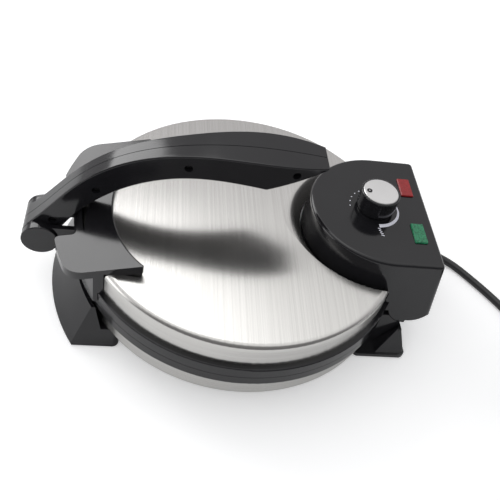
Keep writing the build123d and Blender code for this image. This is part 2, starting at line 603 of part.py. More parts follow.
# The seam of the turned crown is kept away from the recess.
CROWN_PLANE = Plane(origin=(AXIS_X, 0, 0), x_dir=(-cos(SEAM_TURN), -sin(SEAM_TURN), 0),
                    z_dir=(-sin(SEAM_TURN), cos(SEAM_TURN), 0))


def recess_edge(grow, drop):
    """Half outline of the recess: upright, then flared, then rounded over to the cover's top."""
    root = side_half(RECESS_FLOOR) + RECESS_GAP
    side = side_half(RECESS_FLOOR) + grow
    low = HINGE_Z - SWEEP_R
    start = (RECESS_FLOOR + (grow - RECESS_GAP) * tan(FLARE)) - drop / cos(FLARE)
    crest = COVER_TOP - RECESS_CREST
    along = (crest - RECESS_FLOOR + RECESS_ROUND * (cos(FLARE) - cos(CREST_LEAN))) / sin(FLARE)
    centre = Vector(root + along * cos(FLARE) + RECESS_ROUND * sin(FLARE),
                    RECESS_FLOOR + along * sin(FLARE) - RECESS_ROUND * cos(FLARE))
    reach = RECESS_ROUND - drop
    ends = [centre + Vector(-sin(lean), cos(lean)) * reach
            for lean in (FLARE, (FLARE + CREST_LEAN) / 2, CREST_LEAN)]
    brim = ends[2] + Vector(cos(CREST_LEAN), sin(CREST_LEAN)) * RECESS_BRIM
    ThreePointArc(*ends)
    Polyline(ends[2], brim, brim + Vector(0, 20), (0, brim.Y + 20), (0, low),
             (side + SIDE_DRAFT * (start - low), low), (side, start), ends[0])


def recess_cutter(grow, drop):
    """Flared cutter that dips the cover round the nose of the housing."""
    with BuildPart() as cutter:
        with BuildSketch(NOSE_PLANE):
            with BuildLine():
                recess_edge(grow, drop)
            make_face()
        revolve(axis=NOSE_AXIS, revolution_arc=180)
        with BuildSketch(NOSE_PLANE):
            with BuildLine():
                recess_edge(grow, drop)
            make_face()
            mirror(about=Plane.YZ)
        extrude(amount=COVER_R)
    return cutter.part


def crown_solid(inset):
    """Turned volume of the cover, moved in by an offset."""
    radius, corner, top = COVER_R - inset, SHOULDER_Z - inset, COVER_TOP - inset
    edge_r = radius - COVER_DRAFT
    sphere = (edge_r ** 2 + (top - corner) ** 2) / (2 * (top - corner))
    tilt = degrees(acos(edge_r / sphere))
    with BuildPart() as solid:
        with BuildSketch(CROWN_PLANE):
            with BuildLine():
                crown = CenterArc((0, top - sphere), sphere, tilt, 90 - tilt)
                Polyline(crown @ 1, (0, UPPER_RING_TOP - inset), (radius, UPPER_RING_TOP - inset),
                         crown @ 0)
            make_face()
        revolve(axis=LID_AXIS)
        level_edges = solid.edges().filter_by(lambda edge: abs((edge @ 0).Z - (edge @ 0.5).Z) < 0.01)
        fillet(level_edges.sort_by(Axis.Z)[-1], SHOULDER_FILLET - inset)
    return solid.part


def cover_solid(inset, grow):
    """Outer or inner volume of the cover with its recess round the nose."""
    with BuildPart() as solid:
        add(crown_solid(inset))
        add(recess_cutter(grow, inset), mode=Mode.SUBTRACT)
    return solid.part


with BuildPart() as lid_cover:
    add(cover_solid(0.0, RECESS_GAP))
    add(cover_solid(SHEET, RECESS_GAP - 0.5), mode=Mode.SUBTRACT)

with BuildPart() as control_housing:
    low = HINGE_Z - SWEEP_R - 2
    add(tower_block(low, TOWER_TOP))
    corners = control_housing.edges().filter_by(
        lambda edge: abs((edge % 0.5).Z) > 0.9 and edge.center().X > AXIS_X + TOWER_REAR - 1)
    fillet(corners, TOWER_CORNER)
    fillet(control_housing.faces().sort_by(Axis.Z)[-1].edges(), TOWER_RIM)
    add(tower_block(low - 1, TOWER_TOP - HOUSING_WALL, -HOUSING_WALL), mode=Mode.SUBTRACT)
    with BuildSketch(SIDE) as cheek:
        with BuildLine():
            knuckle_start = -degrees(asin((HINGE_Z - CHEEK_BOTTOM) / KNUCKLE_R))
            sweep_end = -180 + degrees(asin((HINGE_Z - LID_BOTTOM) / SWEEP_R))
            knuckle = CenterArc((HINGE_X, HINGE_Z), KNUCKLE_R, knuckle_start, -95 - knuckle_start)
            front = CenterArc((HINGE_X, HINGE_Z), SWEEP_R, -95, sweep_end + 95)
            Line(knuckle @ 1, front @ 0)
            waist, ahead, behind = NOSE_X - 9.4, NOSE_X - NOSE_R - 9.1, TOWER_REAR + 33.7
            Polyline(front @ 1, (waist, LID_BOTTOM), (waist, NOSE_BOTTOM), (ahead, NOSE_BOTTOM),
                     (ahead, TOWER_TOP + 5), (behind, TOWER_TOP + 5), (behind, CHEEK_BOTTOM),
                     knuckle @ 0)
        make_face()
    extrude(cheek.sketch, amount=90, both=True, mode=Mode.INTERSECT)
    with Locations(at(0, 0, 0)):
        Cylinder(COVER_R + EASE, NOSE_BOTTOM, align=STAND, mode=Mode.SUBTRACT)
        Cylinder(RING_R + TOUCH_GAP, UPPER_RING_TOP + TOUCH_GAP, align=STAND, mode=Mode.SUBTRACT)
    boss_inner = EAR_INNER + EAR_THICK + EAR_GAP
    with Locations(at(TOWER_REAR, 0, REAR_WALL_BOTTOM)):
        Box(60, 2 * boss_inner, 60, align=HANG, mode=Mode.SUBTRACT)
    for side in (-1, 1):
        with Locations(at(HINGE_X, side * boss_inner, HINGE_Z)):
            Cylinder(PIN_BOSS_R, side_half(HINGE_Z) - boss_inner - 1, rotation=(90, 0, 0),
                     align=HANG if side > 0 else STAND)
    with Locations(at(HINGE_X, 0, HINGE_Z)):
        Cylinder(HINGE_PIN_R + RUNNING, 2 * PIN_REACH + 1, rotation=(90, 0, 0),
                 mode=Mode.SUBTRACT)
    panel_under = TOWER_TOP - HOUSING_WALL
    with Locations(at(KNOB_X, 0, panel_under)):
        Cylinder(BUSHING_R, 10, mode=Mode.SUBTRACT)
    with Locations(at(LAMP_X, LAMP_Y, panel_under), at(LAMP_X, -LAMP_Y, panel_under)):
        Box(LAMP_WIDE - LAMP_STEM, LAMP_LONG - LAMP_STEM, 10, mode=Mode.SUBTRACT)

with BuildPart() as housing_closing_plate:
    add(tower_block(CLOSING_Z, CLOSING_Z + CLOSING_THICK, -HOUSING_WALL))
    with Locations(at(CLOSING_FRONT, 0, 0)):
        Box(200, 200, 200, align=(Align.MAX, Align.CENTER, Align.CENTER), mode=Mode.SUBTRACT)

with BuildPart() as thermostat:
    with Locations(at(KNOB_X, 0, panel_under)):
        Box(THERMOSTAT_SIZE, THERMOSTAT_SIZE, THERMOSTAT_HEIGHT, align=HANG)
        Cylinder(BUSHING_R, HOUSING_WALL + 0.3, align=STAND)
        Cylinder(SHAFT_R + RUNNING, 2 * (panel_under - SHAFT_BOTTOM), mode=Mode.SUBTRACT)

with BuildPart() as thermostat_shaft:
    with Locations(at(KNOB_X, 0, SHAFT_BOTTOM)):
        Cylinder(SHAFT_R, SHAFT_TOP - SHAFT_BOTTOM, align=STAND)

with BuildPart() as knob:
    with Locations(at(KNOB_X, 0, TOWER_TOP + KNOB_GAP)):
        Cylinder(COLLAR_R, COLLAR_HEIGHT + 1, align=STAND)
    with Locations(at(KNOB_X, 0, TOWER_TOP + KNOB_GAP + COLLAR_HEIGHT)):
        Cylinder(KNOB_R, KNOB_TOP - TOWER_TOP - KNOB_GAP - COLLAR_HEIGHT, align=STAND)
    fillet(knob.edges().group_by(Axis.Z)[-1], 1.0)
    with Locations(at(KNOB_X, 0, KNOB_TOP)):
        Cylinder(CAP_R + 0.05, 2 * (CAP_HEIGHT - 0.4), mode=Mode.SUBTRACT)
    with Locations(at(KNOB_X, 0, TOWER_TOP - 5)):
        Cylinder(SHAFT_R, SHAFT_TOP - TOWER_TOP + 5, align=STAND, mode=Mode.SUBTRACT)

with BuildPart() as knob_cap:
    with Locations(at(KNOB_X, 0, KNOB_TOP - CAP_HEIGHT + 0.4)):
        Cylinder(CAP_R, CAP_HEIGHT, align=STAND)
    chamfer(knob_cap.edges().group_by(Axis.Z)[-1], 0.4)
    with Locations(at(KNOB_X - 9.6, 0, KNOB_TOP + 0.4)):
        Cylinder(1.7, 0.8, mode=Mode.SUBTRACT)


def lamp_lens(y):
    """Rectangular indicator lens with the stem that fills its window."""
    with BuildPart() as lens:
        with Locations(at(LAMP_X, y, TOWER_TOP)):
            Box(LAMP_WIDE, LAMP_LONG, LAMP_PROUD, align=STAND)
        fillet(lens.edges().filter_by(Axis.Z), 0.8)
        chamfer(lens.edges().group_by(Axis.Z)[-1], 0.4)
        with Locations(at(LAMP_X, y, TOWER_TOP)):
            Box(LAMP_WIDE - LAMP_STEM, LAMP_LONG - LAMP_STEM, HOUSING_WALL, align=HANG)
    return lens.part


with BuildPart() as red_lamp_lens:
    add(lamp_lens(LAMP_Y))
with BuildPart() as green_lamp_lens:
    add(lamp_lens(-LAMP_Y))
with BuildPart() as lamp_holders:
    with Locations(at(LAMP_X, LAMP_Y, panel_under), at(LAMP_X, -LAMP_Y, panel_under)):
        Box(LAMP_WIDE, LAMP_LONG, LAMP_BODY_HEIGHT, align=HANG)


# ================================================================ front bracket
def hood_outline(inset):
    """Plan of the hood: a band round the front of the lid with a notch for the handle."""
    with BuildSketch(level(0)) as plan:
        Circle(HOOD_OUTER_R - inset)
        Circle(HOOD_INNER_R + inset, mode=Mode.SUBTRACT)
        with Locations((-HOOD_OUTER_R, 0)):
            Rectangle(2 * HOOD_OUTER_R, 2 * (HOOD_HALF - inset), mode=Mode.INTERSECT)
        front = plan.vertices().filter_by(lambda vertex: vertex.X < AXIS_X - HOOD_INNER_R - 10)
        fillet(front, 18.0 - inset)
        with Locations((NOTCH_X - 50 + inset, 0)):
            Rectangle(100, 2 * (NOTCH_HALF + inset), mode=Mode.SUBTRACT)
        notch = plan.vertices().filter_by(
            lambda vertex: abs(abs(vertex.Y) - NOTCH_HALF - inset) < 0.01)
        fillet(notch, 3.0)
    return plan.sketch


def under_slope(top_drop, bottom_drop):
    """Sloping slab between two depths below the hood's top plane."""
    near, far = 44.0 - HOOD_INNER_R, -HOOD_OUTER_R - 22.0
    with BuildPart() as slab:
        extrude(profile((near, hood_top(near) - bottom_drop), (near, hood_top(near) - top_drop),
                        (far, hood_top(far) - top_drop), (far, hood_top(far) - bottom_drop)),
                amount=HOOD_HALF + 20, both=True)
    return slab.part


def front_band(outer, inner, half, bottom):
    """Upright band round the front of the lid that ends inside the hood."""
    with BuildPart() as band:
        with BuildSketch(level(bottom)):
            Circle(outer)
            Circle(inner, mode=Mode.SUBTRACT)
            with Locations((-outer, 0)):
                Rectangle(outer, 2 * half, mode=Mode.INTERSECT)
        extrude(amount=60)
        add(under_slope(HOOD_WALL, 100), mode=Mode.INTERSECT)
    return band.part


LUG_INNER = HUB_HALF + TOUCH_GAP
with BuildPart() as front_bracket:
    extrude(hood_outline(0), amount=120)
    add(under_slope(0, HOOD_THICK), mode=Mode.INTERSECT)
    fillet(front_bracket.faces().sort_by(Axis.Z)[-1].edges(), 1.2)
    with BuildPart(mode=Mode.SUBTRACT):
        extrude(hood_outline(HOOD_WALL), amount=120)
        add(under_slope(HOOD_WALL, HOOD_THICK + 5), mode=Mode.INTERSECT)
    add(front_band(BRACKET_R, RING_R + TOUCH_GAP, HOOD_HALF, LID_BOTTOM))
    with BuildPart(mode=Mode.ADD):
        add(front_band(BRACKET_R, COVER_R + TOUCH_GAP, HOOD_HALF, UPPER_RING_TOP + TOUCH_GAP))
        with Locations(at(0, 0, 0)):
            Box(400, 2 * (HOOD_HALF - BRACKET_SKIN), 300, mode=Mode.SUBTRACT)
    for side in (-1, 1):
        middle = side * (LUG_INNER + LUG_THICK / 2)
        with Locations(at(PIVOT_X, middle, PIVOT_Z)):
            Cylinder(HUB_R - 0.2, LUG_THICK, rotation=(90, 0, 0))
        with Locations(at(PIVOT_X, middle, LID_BOTTOM + 1)):
            Box(-RING_R - PIVOT_X, LUG_THICK, 16, align=(Align.MIN, Align.CENTER, Align.MIN))
    with Locations(at(PIVOT_X, 0, PIVOT_Z)):
        Cylinder(PIVOT_PIN_R, 100, rotation=(90, 0, 0), mode=Mode.SUBTRACT)
    with Locations(at(0, 0, 0)):
        Cylinder(RING_R + TOUCH_GAP, UPPER_RING_TOP + TOUCH_GAP, align=STAND, mode=Mode.SUBTRACT)
        Cylinder(COVER_R + TOUCH_GAP, SHOULDER_Z, align=STAND, mode=Mode.SUBTRACT)
    add(crown_solid(-SKIN_GAP), mode=Mode.SUBTRACT)

PAD_TRIM_R = COVER_R - SHOULDER_FILLET - 1
with BuildPart() as bracket_pad:
    extrude(hood_outline(0.9), amount=120)
    extrude(hood_outline(HOOD_WALL), amount=120, mode=Mode.SUBTRACT)
    add(under_slope(HOOD_THICK, HOOD_THICK + 15), mode=Mode.INTERSECT)
    add(crown_solid(-SKIN_GAP), mode=Mode.SUBTRACT)
    with Locations(at(0, 0, 0)):
        Cylinder(PAD_TRIM_R, 200, align=STAND, mode=Mode.INTERSECT)
        Cylinder(200, SHOULDER_Z, align=STAND, mode=Mode.SUBTRACT)

LUG_OUTER = LUG_INNER + LUG_THICK
with BuildPart() as pivot_pin:
    with Locations(at(PIVOT_X, 0, PIVOT_Z)):
        Cylinder(PIVOT_PIN_R, 2 * LUG_OUTER, rotation=(90, 0, 0))

with BuildPart() as pivot_end_caps:
    for side in (-1, 1):
        with Locations(at(PIVOT_X, side * (LUG_OUTER + CAP_THICK / 2), PIVOT_Z)):
            Cylinder(HUB_R, CAP_THICK, rotation=(90, 0, 0))
    outer = pivot_end_caps.edges().filter_by(lambda edge: abs(edge.center().Y) > LUG_OUTER + 1)
    fillet(outer, 0.8)


# ================================================================ handle
def inward(points, amount):
    """Points moved to the right of their direction of travel."""
    moved = []
    for index, (x, z) in enumerate(points):
        before, after = points[max(index - 1, 0)], points[min(index + 1, len(points) - 1)]
        reach = hypot(after[0] - before[0], after[1] - before[1])
        moved.append((x + amount * (after[1] - before[1]) / reach,
                      z - amount * (after[0] - before[0]) / reach))
    return moved


def handle_profile(top_points, tip, belly_points):
    """Side view of the lever between its top and its underside."""
    with BuildSketch(LEVER_SIDE) as view:
        with BuildLine():
            top = Spline(*top_points)
            belly = Spline(*belly_points)
            Polyline(top @ 1, tip, belly @ 0)
            Polyline(belly @ 1, (0, 0), top @ 0)
        make_face()
    return view.sketch


def handle_plan(inset):
    """Plan of the lever, widest at the grip."""
    edge = [(x, half - inset) for x, half in HANDLE_PLAN]
    with BuildSketch(LEVER_PLAN) as plan:
        with BuildLine():
            far = Spline(*edge)
            near = Spline(*[(x, -half) for x, half in edge])
            Line(far @ 0, near @ 0)
            Line(far @ 1, near @ 1)
        make_face()
    return plan.sketch


UNDERSIDE = [HANDLE_BELLY] + HANDLE_BOTTOM
with BuildPart() as lever:
    extrude(handle_profile(HANDLE_TOP, HANDLE_TIP, UNDERSIDE), amount=30, both=True)
    extrude(handle_plan(0), amount=200, mode=Mode.INTERSECT)
    long_edges = lever.edges().filter_by(
        lambda edge: edge.length > 60 and abs(edge.center().Y) > 5)
    fillet(long_edges, HANDLE_EDGE)
    with Locations(at(PIVOT_X, 0, PIVOT_Z)):
        Cylinder(HUB_R, 2 * HUB_HALF, rotation=(90, 0, 0))
    with BuildPart(mode=Mode.SUBTRACT):
        cavity_top = inward(HANDLE_TOP, HANDLE_WALL)[:-1] + [CAVITY_END]
        extrude(handle_profile(cavity_top, CAVITY_CORNER, inward(UNDERSIDE, HANDLE_WALL)),
                amount=30, both=True)
        extrude(handle_plan(HANDLE_WALL), amount=200, mode=Mode.INTERSECT)
        with Locations(at(PIVOT_X, 0, PIVOT_Z)):
            Cylinder(HUB_R + HANDLE_WALL, 80, rotation=(90, 0, 0), mode=Mode.SUBTRACT)
        for x, z in HANDLE_SCREWS:
            with Locations(at(PIVOT_X + x, 0, PIVOT_Z + z)):
                Cylinder(SCREW_RECESS_R + 1.6, 60, rotation=(90, 0, 0), mode=Mode.SUBTRACT)
    with Locations(at(PIVOT_X, 0, PIVOT_Z)):
        Cylinder(PIVOT_PIN_R + RUNNING, 60, rotation=(90, 0, 0), mode=Mode.SUBTRACT)


def handle_half_width(x):
    """Half width of the lever at a place along it, from its plan."""
    for (x0, half0), (x1, half1) in zip(HANDLE_PLAN, HANDLE_PLAN[1:]):
        if x0 <= x <= x1:
            return half0 + (half1 - half0) * (x - x0) / (x1 - x0)
    return HANDLE_PLAN[-1][1]


with BuildPart() as handle_screws:
    for x, z in HANDLE_SCREWS:
        head = SCREW_RECESS_DEPTH - handle_half_width(x)
        with Locations(at(PIVOT_X + x, head, PIVOT_Z + z)):
            Cylinder(SCREW_HEAD_R, SCREW_HEAD, rotation=(-90, 0, 0), align=STAND)
            Cylinder(SCREW_SHANK_R, 5 - head, rotation=(-90, 0, 0), align=STAND)
            Box(3.2, 1.2, 0.7, mode=Mode.SUBTRACT)

with lever:
    for x, z in HANDLE_SCREWS:
        seat = SCREW_RECESS_DEPTH + SCREW_HEAD - handle_half_width(x)
        with Locations(at(PIVOT_X + x, seat, PIVOT_Z + z)):
            Cylinder(SCREW_RECESS_R, 30, rotation=(90, 0, 0), align=STAND, mode=Mode.SUBTRACT)
    add(handle_screws.part, mode=Mode.SUBTRACT)


def lever_half(side):
    """Half of the lever on one side of its parting plane."""
    with BuildPart() as half:
        add(lever.part)
        with Locations(at(0, 0, 0)):
            Box(500, 100, 400, align=(Align.CENTER, side, Align.CENTER), mode=Mode.INTERSECT)
    return half.part


with BuildPart() as handle_near_half:
    add(lever_half(Align.MAX))
with BuildPart() as handle_far_half:
    add(lever_half(Align.MIN))


# ================================================================ mains lead
with BuildPart() as strain_relief:
    with BuildSketch(Plane(origin=EXIT_POINT, x_dir=EXIT_AIM, z_dir=(0, -1, 0))):
        with BuildLine():
            Polyline((-6, 0), (-6, RELIEF_ROOT_R), (0, RELIEF_ROOT_R), (0, RELIEF_ROOT_R + 1.5),
                     (2, RELIEF_ROOT_R + 1.5), (2, RELIEF_ROOT_R - 0.3),
                     (RELIEF_LENGTH, RELIEF_TIP_R), (RELIEF_LENGTH, 0), close=True)
        make_face()
    revolve(axis=Axis(EXIT_POINT, EXIT_AIM))

CORD_START = EXIT_POINT + EXIT_AIM * RELIEF_LENGTH
CORD_POINTS = [CORD_START] + ROUTE_POINTS
runs = [(b - a).length for a, b in zip(CORD_POINTS, CORD_POINTS[1:])]
aims = [(b - a).normalized() for a, b in zip(CORD_POINTS, CORD_POINTS[1:])]
turns = [acos(max(-1.0, min(1.0, a.dot(b)))) for a, b in zip(aims, aims[1:])]
radii = [0.45 * min(before, after) / tan(turn / 2)
         for before, after, turn in zip(runs, runs[1:], turns)]
print("cord bend radii", [round(radius, 1) for radius in radii])

with BuildPart() as cord:
    with BuildLine() as cord_route:
        FilletPolyline(*CORD_POINTS, radius=radii)
    with BuildSketch(Plane(origin=CORD_START, z_dir=EXIT_AIM)):
        Circle(CORD_D / 2)
    sweep(path=cord_route.line)
cord_length = cord_route.wire().length
print("cord volume over section x length",
      round(cord.part.volume / (pi * CORD_D ** 2 / 4 * cord_length), 4))


def biarc(start, start_aim, end, end_aim):
    """Two arcs that join two points with given directions."""
    chord = end - start
    both = start_aim + end_aim
    square = 2 * (1 - start_aim.dot(end_aim))
    reach = (sqrt(chord.dot(both) ** 2 + square * chord.dot(chord)) - chord.dot(both)) / square
    middle = (start + start_aim * reach + end - end_aim * reach) * 0.5
    first = TangentArc(start, middle, tangent=start_aim)
    TangentArc(middle, end, tangent=first % 1)


COIL_ENTRY = ROUTE_POINTS[-1]
COIL_CENTRE = COIL_ENTRY + Vector(COIL_TURNS[0], -CORD_D, 0)
coil_points = []
for step, reach in enumerate(COIL_TURNS):
    rise = COIL_RISE if step > len(COIL_TURNS) // 2 - 1 else 0.0
    coil_points.append(COIL_CENTRE + Vector(reach if step % 2 else -reach, 0, rise))
with BuildPart() as cord_coil:
    with BuildLine() as coil_route:
        Line(COIL_ENTRY, coil_points[0])
        for step, (here, there) in enumerate(zip(coil_points, coil_points[1:])):
            heading = Vector(0, 1 if step % 2 else -1, 0)
            biarc(here, heading, there, heading * -1)
        Line(coil_points[-1], coil_points[-1] - Vector(0, CORD_D, 0))
    with BuildSketch(Plane(origin=COIL_ENTRY, x_dir=(1, 0, 0), z_dir=(0, -1, 0))):
        Circle(CORD_D / 2)
    sweep(path=coil_route.line)
coil_wire = coil_route.wire()
coil_length = coil_wire.length
samples = [coil_wire.position_at(i / 600) for i in range(601)]
apart = int(60 / coil_length * 600)
self_gap = min((samples[i] - samples[j]).length for i in range(601)
               for j in range(i + apart, 601)) - CORD_D
print("coil length", round(coil_length, 1), "least gap to itself", round(self_gap, 2))

PLUG_START = coil_points[-1] - Vector(0, CORD_D, 0)
with BuildPart() as plug:
    with BuildSketch(Plane(origin=PLUG_START, x_dir=(0, -1, 0), z_dir=(1, 0, 0))):
        with BuildLine():
            Polyline((0, 0), (0, RELIEF_TIP_R - 0.3), (PLUG_SLEEVE + 1, 6.5), (PLUG_SLEEVE + 1, 0),
                     close=True)
        make_face()
    revolve(axis=Axis(PLUG_START, (0, -1, 0)))
    face = PLUG_START - Vector(0, PLUG_SLEEVE, 0)
    with BuildSketch(Plane(origin=face, x_dir=(1, 0, 0), z_dir=(0, -1, 0))):
        RectangleRounded(PLUG_WIDE - 8, PLUG_HIGH - 8, 4.0)
    with BuildSketch(Plane(origin=face - Vector(0, 10, 0), x_dir=(1, 0, 0), z_dir=(0, -1, 0))):
        RectangleRounded(PLUG_WIDE, PLUG_HIGH, 6.0)
    loft()
    with BuildSketch(Plane(origin=face - Vector(0, 10, 0), x_dir=(1, 0, 0), z_dir=(0, -1, 0))):
        RectangleRounded(PLUG_WIDE, PLUG_HIGH, 6.0)
    extrude(amount=PLUG_LENGTH - 10)

with BuildPart() as plug_pins:
    front = face - Vector(0, PLUG_LENGTH, 0)
    with Locations(front + Vector(-6.35, 0, -3), front + Vector(6.35, 0, -3)):
        Box(1.5, 17, 6.3, align=(Align.CENTER, Align.MAX, Align.CENTER))
    with Locations(front + Vector(0, 0, 5)):
        Cylinder(2.4, 20, rotation=(90, 0, 0), align=STAND)

pieces = {
    "base_frame": base_frame, "rubber_feet": rubber_feet, "base_drum": base_drum,
    "lower_ring": lower_ring, "lower_heating_plate": lower_heating_plate,
    "lower_heating_element": lower_heating_element, "lower_heat_shield": lower_heat_shield,
    "lower_plate_studs": lower_plate_studs, "lower_plate_screws": lower_plate_screws,
    "base_screws": base_screws, "terminal_block": terminal_block,
    "hinge_bracket": hinge_bracket, "hinge_pin": hinge_pin, "upper_ring": upper_ring,
    "lid_cover": lid_cover, "upper_heating_plate": upper_heating_plate,
    "upper_heating_element": upper_heating_element, "upper_heat_shield": upper_heat_shield,
    "upper_plate_studs": upper_plate_studs, "upper_plate_screws": upper_plate_screws,
    "control_housing": control_housing, "housing_closing_plate": housing_closing_plate,
    "thermostat": thermostat, "thermostat_shaft": thermostat_shaft, "knob": knob,
    "knob_cap": knob_cap, "red_lamp_lens": red_lamp_lens, "green_lamp_lens": green_lamp_lens,
    "lamp_holders": lamp_holders, "front_bracket": front_bracket, "bracket_pad": bracket_pad,
    "pivot_pin": pivot_pin, "pivot_end_caps": pivot_end_caps,
    "handle_near_half": handle_near_half, "handle_far_half": handle_far_half,
    "handle_screws": handle_screws, "strain_relief": strain_relief, "cord": cord,
    "cord_coil": cord_coil, "plug": plug, "plug_pins": plug_pins,
}

os.makedirs("parts", exist_ok=True)
for label, piece in pieces.items():
    piece.part.label = label
    export_step(piece.part, f"parts/{label}.step")
    print(label, len(piece.part.solids()), round(piece.part.volume / 1000, 2), "cm3")
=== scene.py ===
"""Looks of an electric roti maker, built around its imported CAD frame.

Lengths are metres in the frame's own axes: +X towards the control housing at the rear, +Y to the red
lamp's side, +Z up, with the floor at z = 0.
"""

import json
import logging
import math
from collections.abc import Callable
from dataclasses import dataclass
from enum import Enum

import bpy
from mathutils import Matrix, Vector

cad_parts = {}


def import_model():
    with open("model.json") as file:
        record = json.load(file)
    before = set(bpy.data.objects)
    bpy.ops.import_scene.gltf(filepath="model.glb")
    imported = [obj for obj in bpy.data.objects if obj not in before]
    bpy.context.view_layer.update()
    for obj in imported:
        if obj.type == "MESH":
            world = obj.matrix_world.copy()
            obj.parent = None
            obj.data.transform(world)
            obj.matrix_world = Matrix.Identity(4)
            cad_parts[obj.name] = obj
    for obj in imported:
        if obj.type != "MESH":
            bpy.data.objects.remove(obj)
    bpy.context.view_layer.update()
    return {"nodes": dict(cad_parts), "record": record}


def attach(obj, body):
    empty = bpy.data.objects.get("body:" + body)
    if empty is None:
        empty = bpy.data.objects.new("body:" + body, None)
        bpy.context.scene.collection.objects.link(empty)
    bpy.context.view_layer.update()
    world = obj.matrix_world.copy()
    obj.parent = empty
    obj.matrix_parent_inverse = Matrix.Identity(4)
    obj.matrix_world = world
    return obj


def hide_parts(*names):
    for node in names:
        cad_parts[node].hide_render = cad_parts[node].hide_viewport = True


LOG = logging.getLogger("roti_maker")
MM = 0.001
LID_AXIS_X = 9.262 * MM
Color = tuple[float, float, float, float]
Point = tuple[float, float, float]
WHITE: Color = (1.0, 1.0, 1.0, 1.0)
MERGE_WITHIN = 0.004 * MM
FLAT_WITHIN = math.radians(0.4)
SMOOTH_WITHIN = math.radians(28.0)
ROUND_ABOVE = math.radians(32.0)


class Grain(Enum):
    """Which way the brushing of a steel sheet runs."""

    ACROSS = "lines along Y on upward faces and round the axis on upright ones"
    ROUND = "lines round the axis"


# ---------------------------------------------------------------- selection and mesh helpers
def nothing_selected() -> None:
    """Deselect every object."""
    bpy.ops.object.select_all(action="DESELECT")


def make_active(piece: bpy.types.Object) -> None:
    """Make one object the only selected one.

    Args:
        piece: the object that the next operators act on.
    """
    nothing_selected()
    piece.select_set(True)
    bpy.context.view_layer.objects.active = piece


def settle(piece: bpy.types.Object, name: str) -> bpy.types.Object:
    """Name a new piece and bake its place into its mesh.

    Args:
        piece: the new object.
        name: a maker's plain name.

    Returns:
        The same object, now at the origin.
    """
    piece.name = name
    piece.data.name = name
    make_active(piece)
    bpy.ops.object.transform_apply(location=True, rotation=True, scale=True)
    return piece


def joined(pieces: list[bpy.types.Object], name: str) -> bpy.types.Object:
    """Join several new pieces into one.

    Args:
        pieces: the objects to join.
        name: the joined piece's name.

    Returns:
        The joined piece.
    """
    make_active(pieces[0])
    for piece in pieces:
        piece.select_set(True)
    bpy.ops.object.join()
    return settle(bpy.context.active_object, name)


def select_vertices(piece: bpy.types.Object, chosen: Callable[[Vector], bool]) -> None:
    """Select the vertices that pass a test and leave the piece in edit mode.

    Args:
        piece: the object to select in.
        chosen: tells whether a place belongs to the selection.
    """
    make_active(piece)
    bpy.ops.object.mode_set(mode="EDIT")
    bpy.ops.mesh.select_all(action="DESELECT")
    bpy.ops.object.mode_set(mode="OBJECT")
    for vertex in piece.data.vertices:
        vertex.select = chosen(vertex.co)
    bpy.ops.object.mode_set(mode="EDIT")


def merged_copy(node: str, name: str, join_flats: bool = True) -> bpy.types.Object:
    """Copy a CAD node with its loose triangles merged.

    Args:
        node: the CAD node's name.
        name: the new piece's name.
        join_flats: whether triangles of one flat face become one face.

    Returns:
        The copy, with its own mesh.
    """
    source = bpy.data.objects[node]
    piece = source.copy()
    piece.data = source.data.copy()
    piece.parent = None
    piece.matrix_world = Matrix.Identity(4)
    bpy.context.scene.collection.objects.link(piece)
    piece.name = name
    piece.data.name = name
    make_active(piece)
    bpy.ops.object.mode_set(mode="EDIT")
    bpy.ops.mesh.select_all(action="SELECT")
    bpy.ops.mesh.remove_doubles(threshold=MERGE_WITHIN)
    bpy.ops.mesh.customdata_custom_splitnormals_clear()
    if join_flats:
        bpy.ops.mesh.dissolve_limited(angle_limit=FLAT_WITHIN)
    bpy.ops.object.mode_set(mode="OBJECT")
    return piece


def soften_edges(piece: bpy.types.Object, width: float) -> None:
    """Round the sharp edges of a moulded piece a little, as a mould does.

    Args:
        piece: a piece with a merged mesh.
        width: the rounding's width in metres.
    """
    make_active(piece)
    bevel = piece.modifiers.new("edge rounding", "BEVEL")
    bevel.width = width
    bevel.segments = 2
    bevel.limit_method = "ANGLE"
    bevel.angle_limit = ROUND_ABOVE
    bevel.use_clamp_overlap = True
    bevel.miter_outer = "MITER_ARC"
    bpy.ops.object.modifier_apply(modifier=bevel.name)
    shade_by_walls(piece)


def shade_by_walls(piece: bpy.types.Object) -> None:
    """Smooth a piece's curves and let its large faces set the shading, so that flat walls look flat.

    Args:
        piece: the piece to shade.
    """
    make_active(piece)
    bpy.ops.object.shade_smooth_by_angle(angle=SMOOTH_WITHIN)
    weights = piece.modifiers.new("flat walls", "WEIGHTED_NORMAL")
    weights.weight = 100
    weights.keep_sharp = True
    bpy.ops.object.modifier_apply(modifier=weights.name)


# ---------------------------------------------------------------- shared node groups
def new_group(name: str, inputs: dict[str, float | Color], outputs: dict[str, str]) -> bpy.types.NodeTree:
    """Start a shader node group.

    Args:
        name: the group's name.
        inputs: each input's default, a number or a colour.
        outputs: each output's socket type.

    Returns:
        The group with its input and output nodes.
    """
    tree = bpy.data.node_groups.new(name, "ShaderNodeTree")
    for label, value in inputs.items():
        kind = "NodeSocketFloat" if isinstance(value, float) else "NodeSocketColor"
        socket = tree.interface.new_socket(label, in_out="INPUT", socket_type=kind)
        socket.default_value = value
    for label, kind in outputs.items():
        tree.interface.new_socket(label, in_out="OUTPUT", socket_type=kind)
    tree.nodes.new("NodeGroupInput")
    tree.nodes.new("NodeGroupOutput")
    return tree


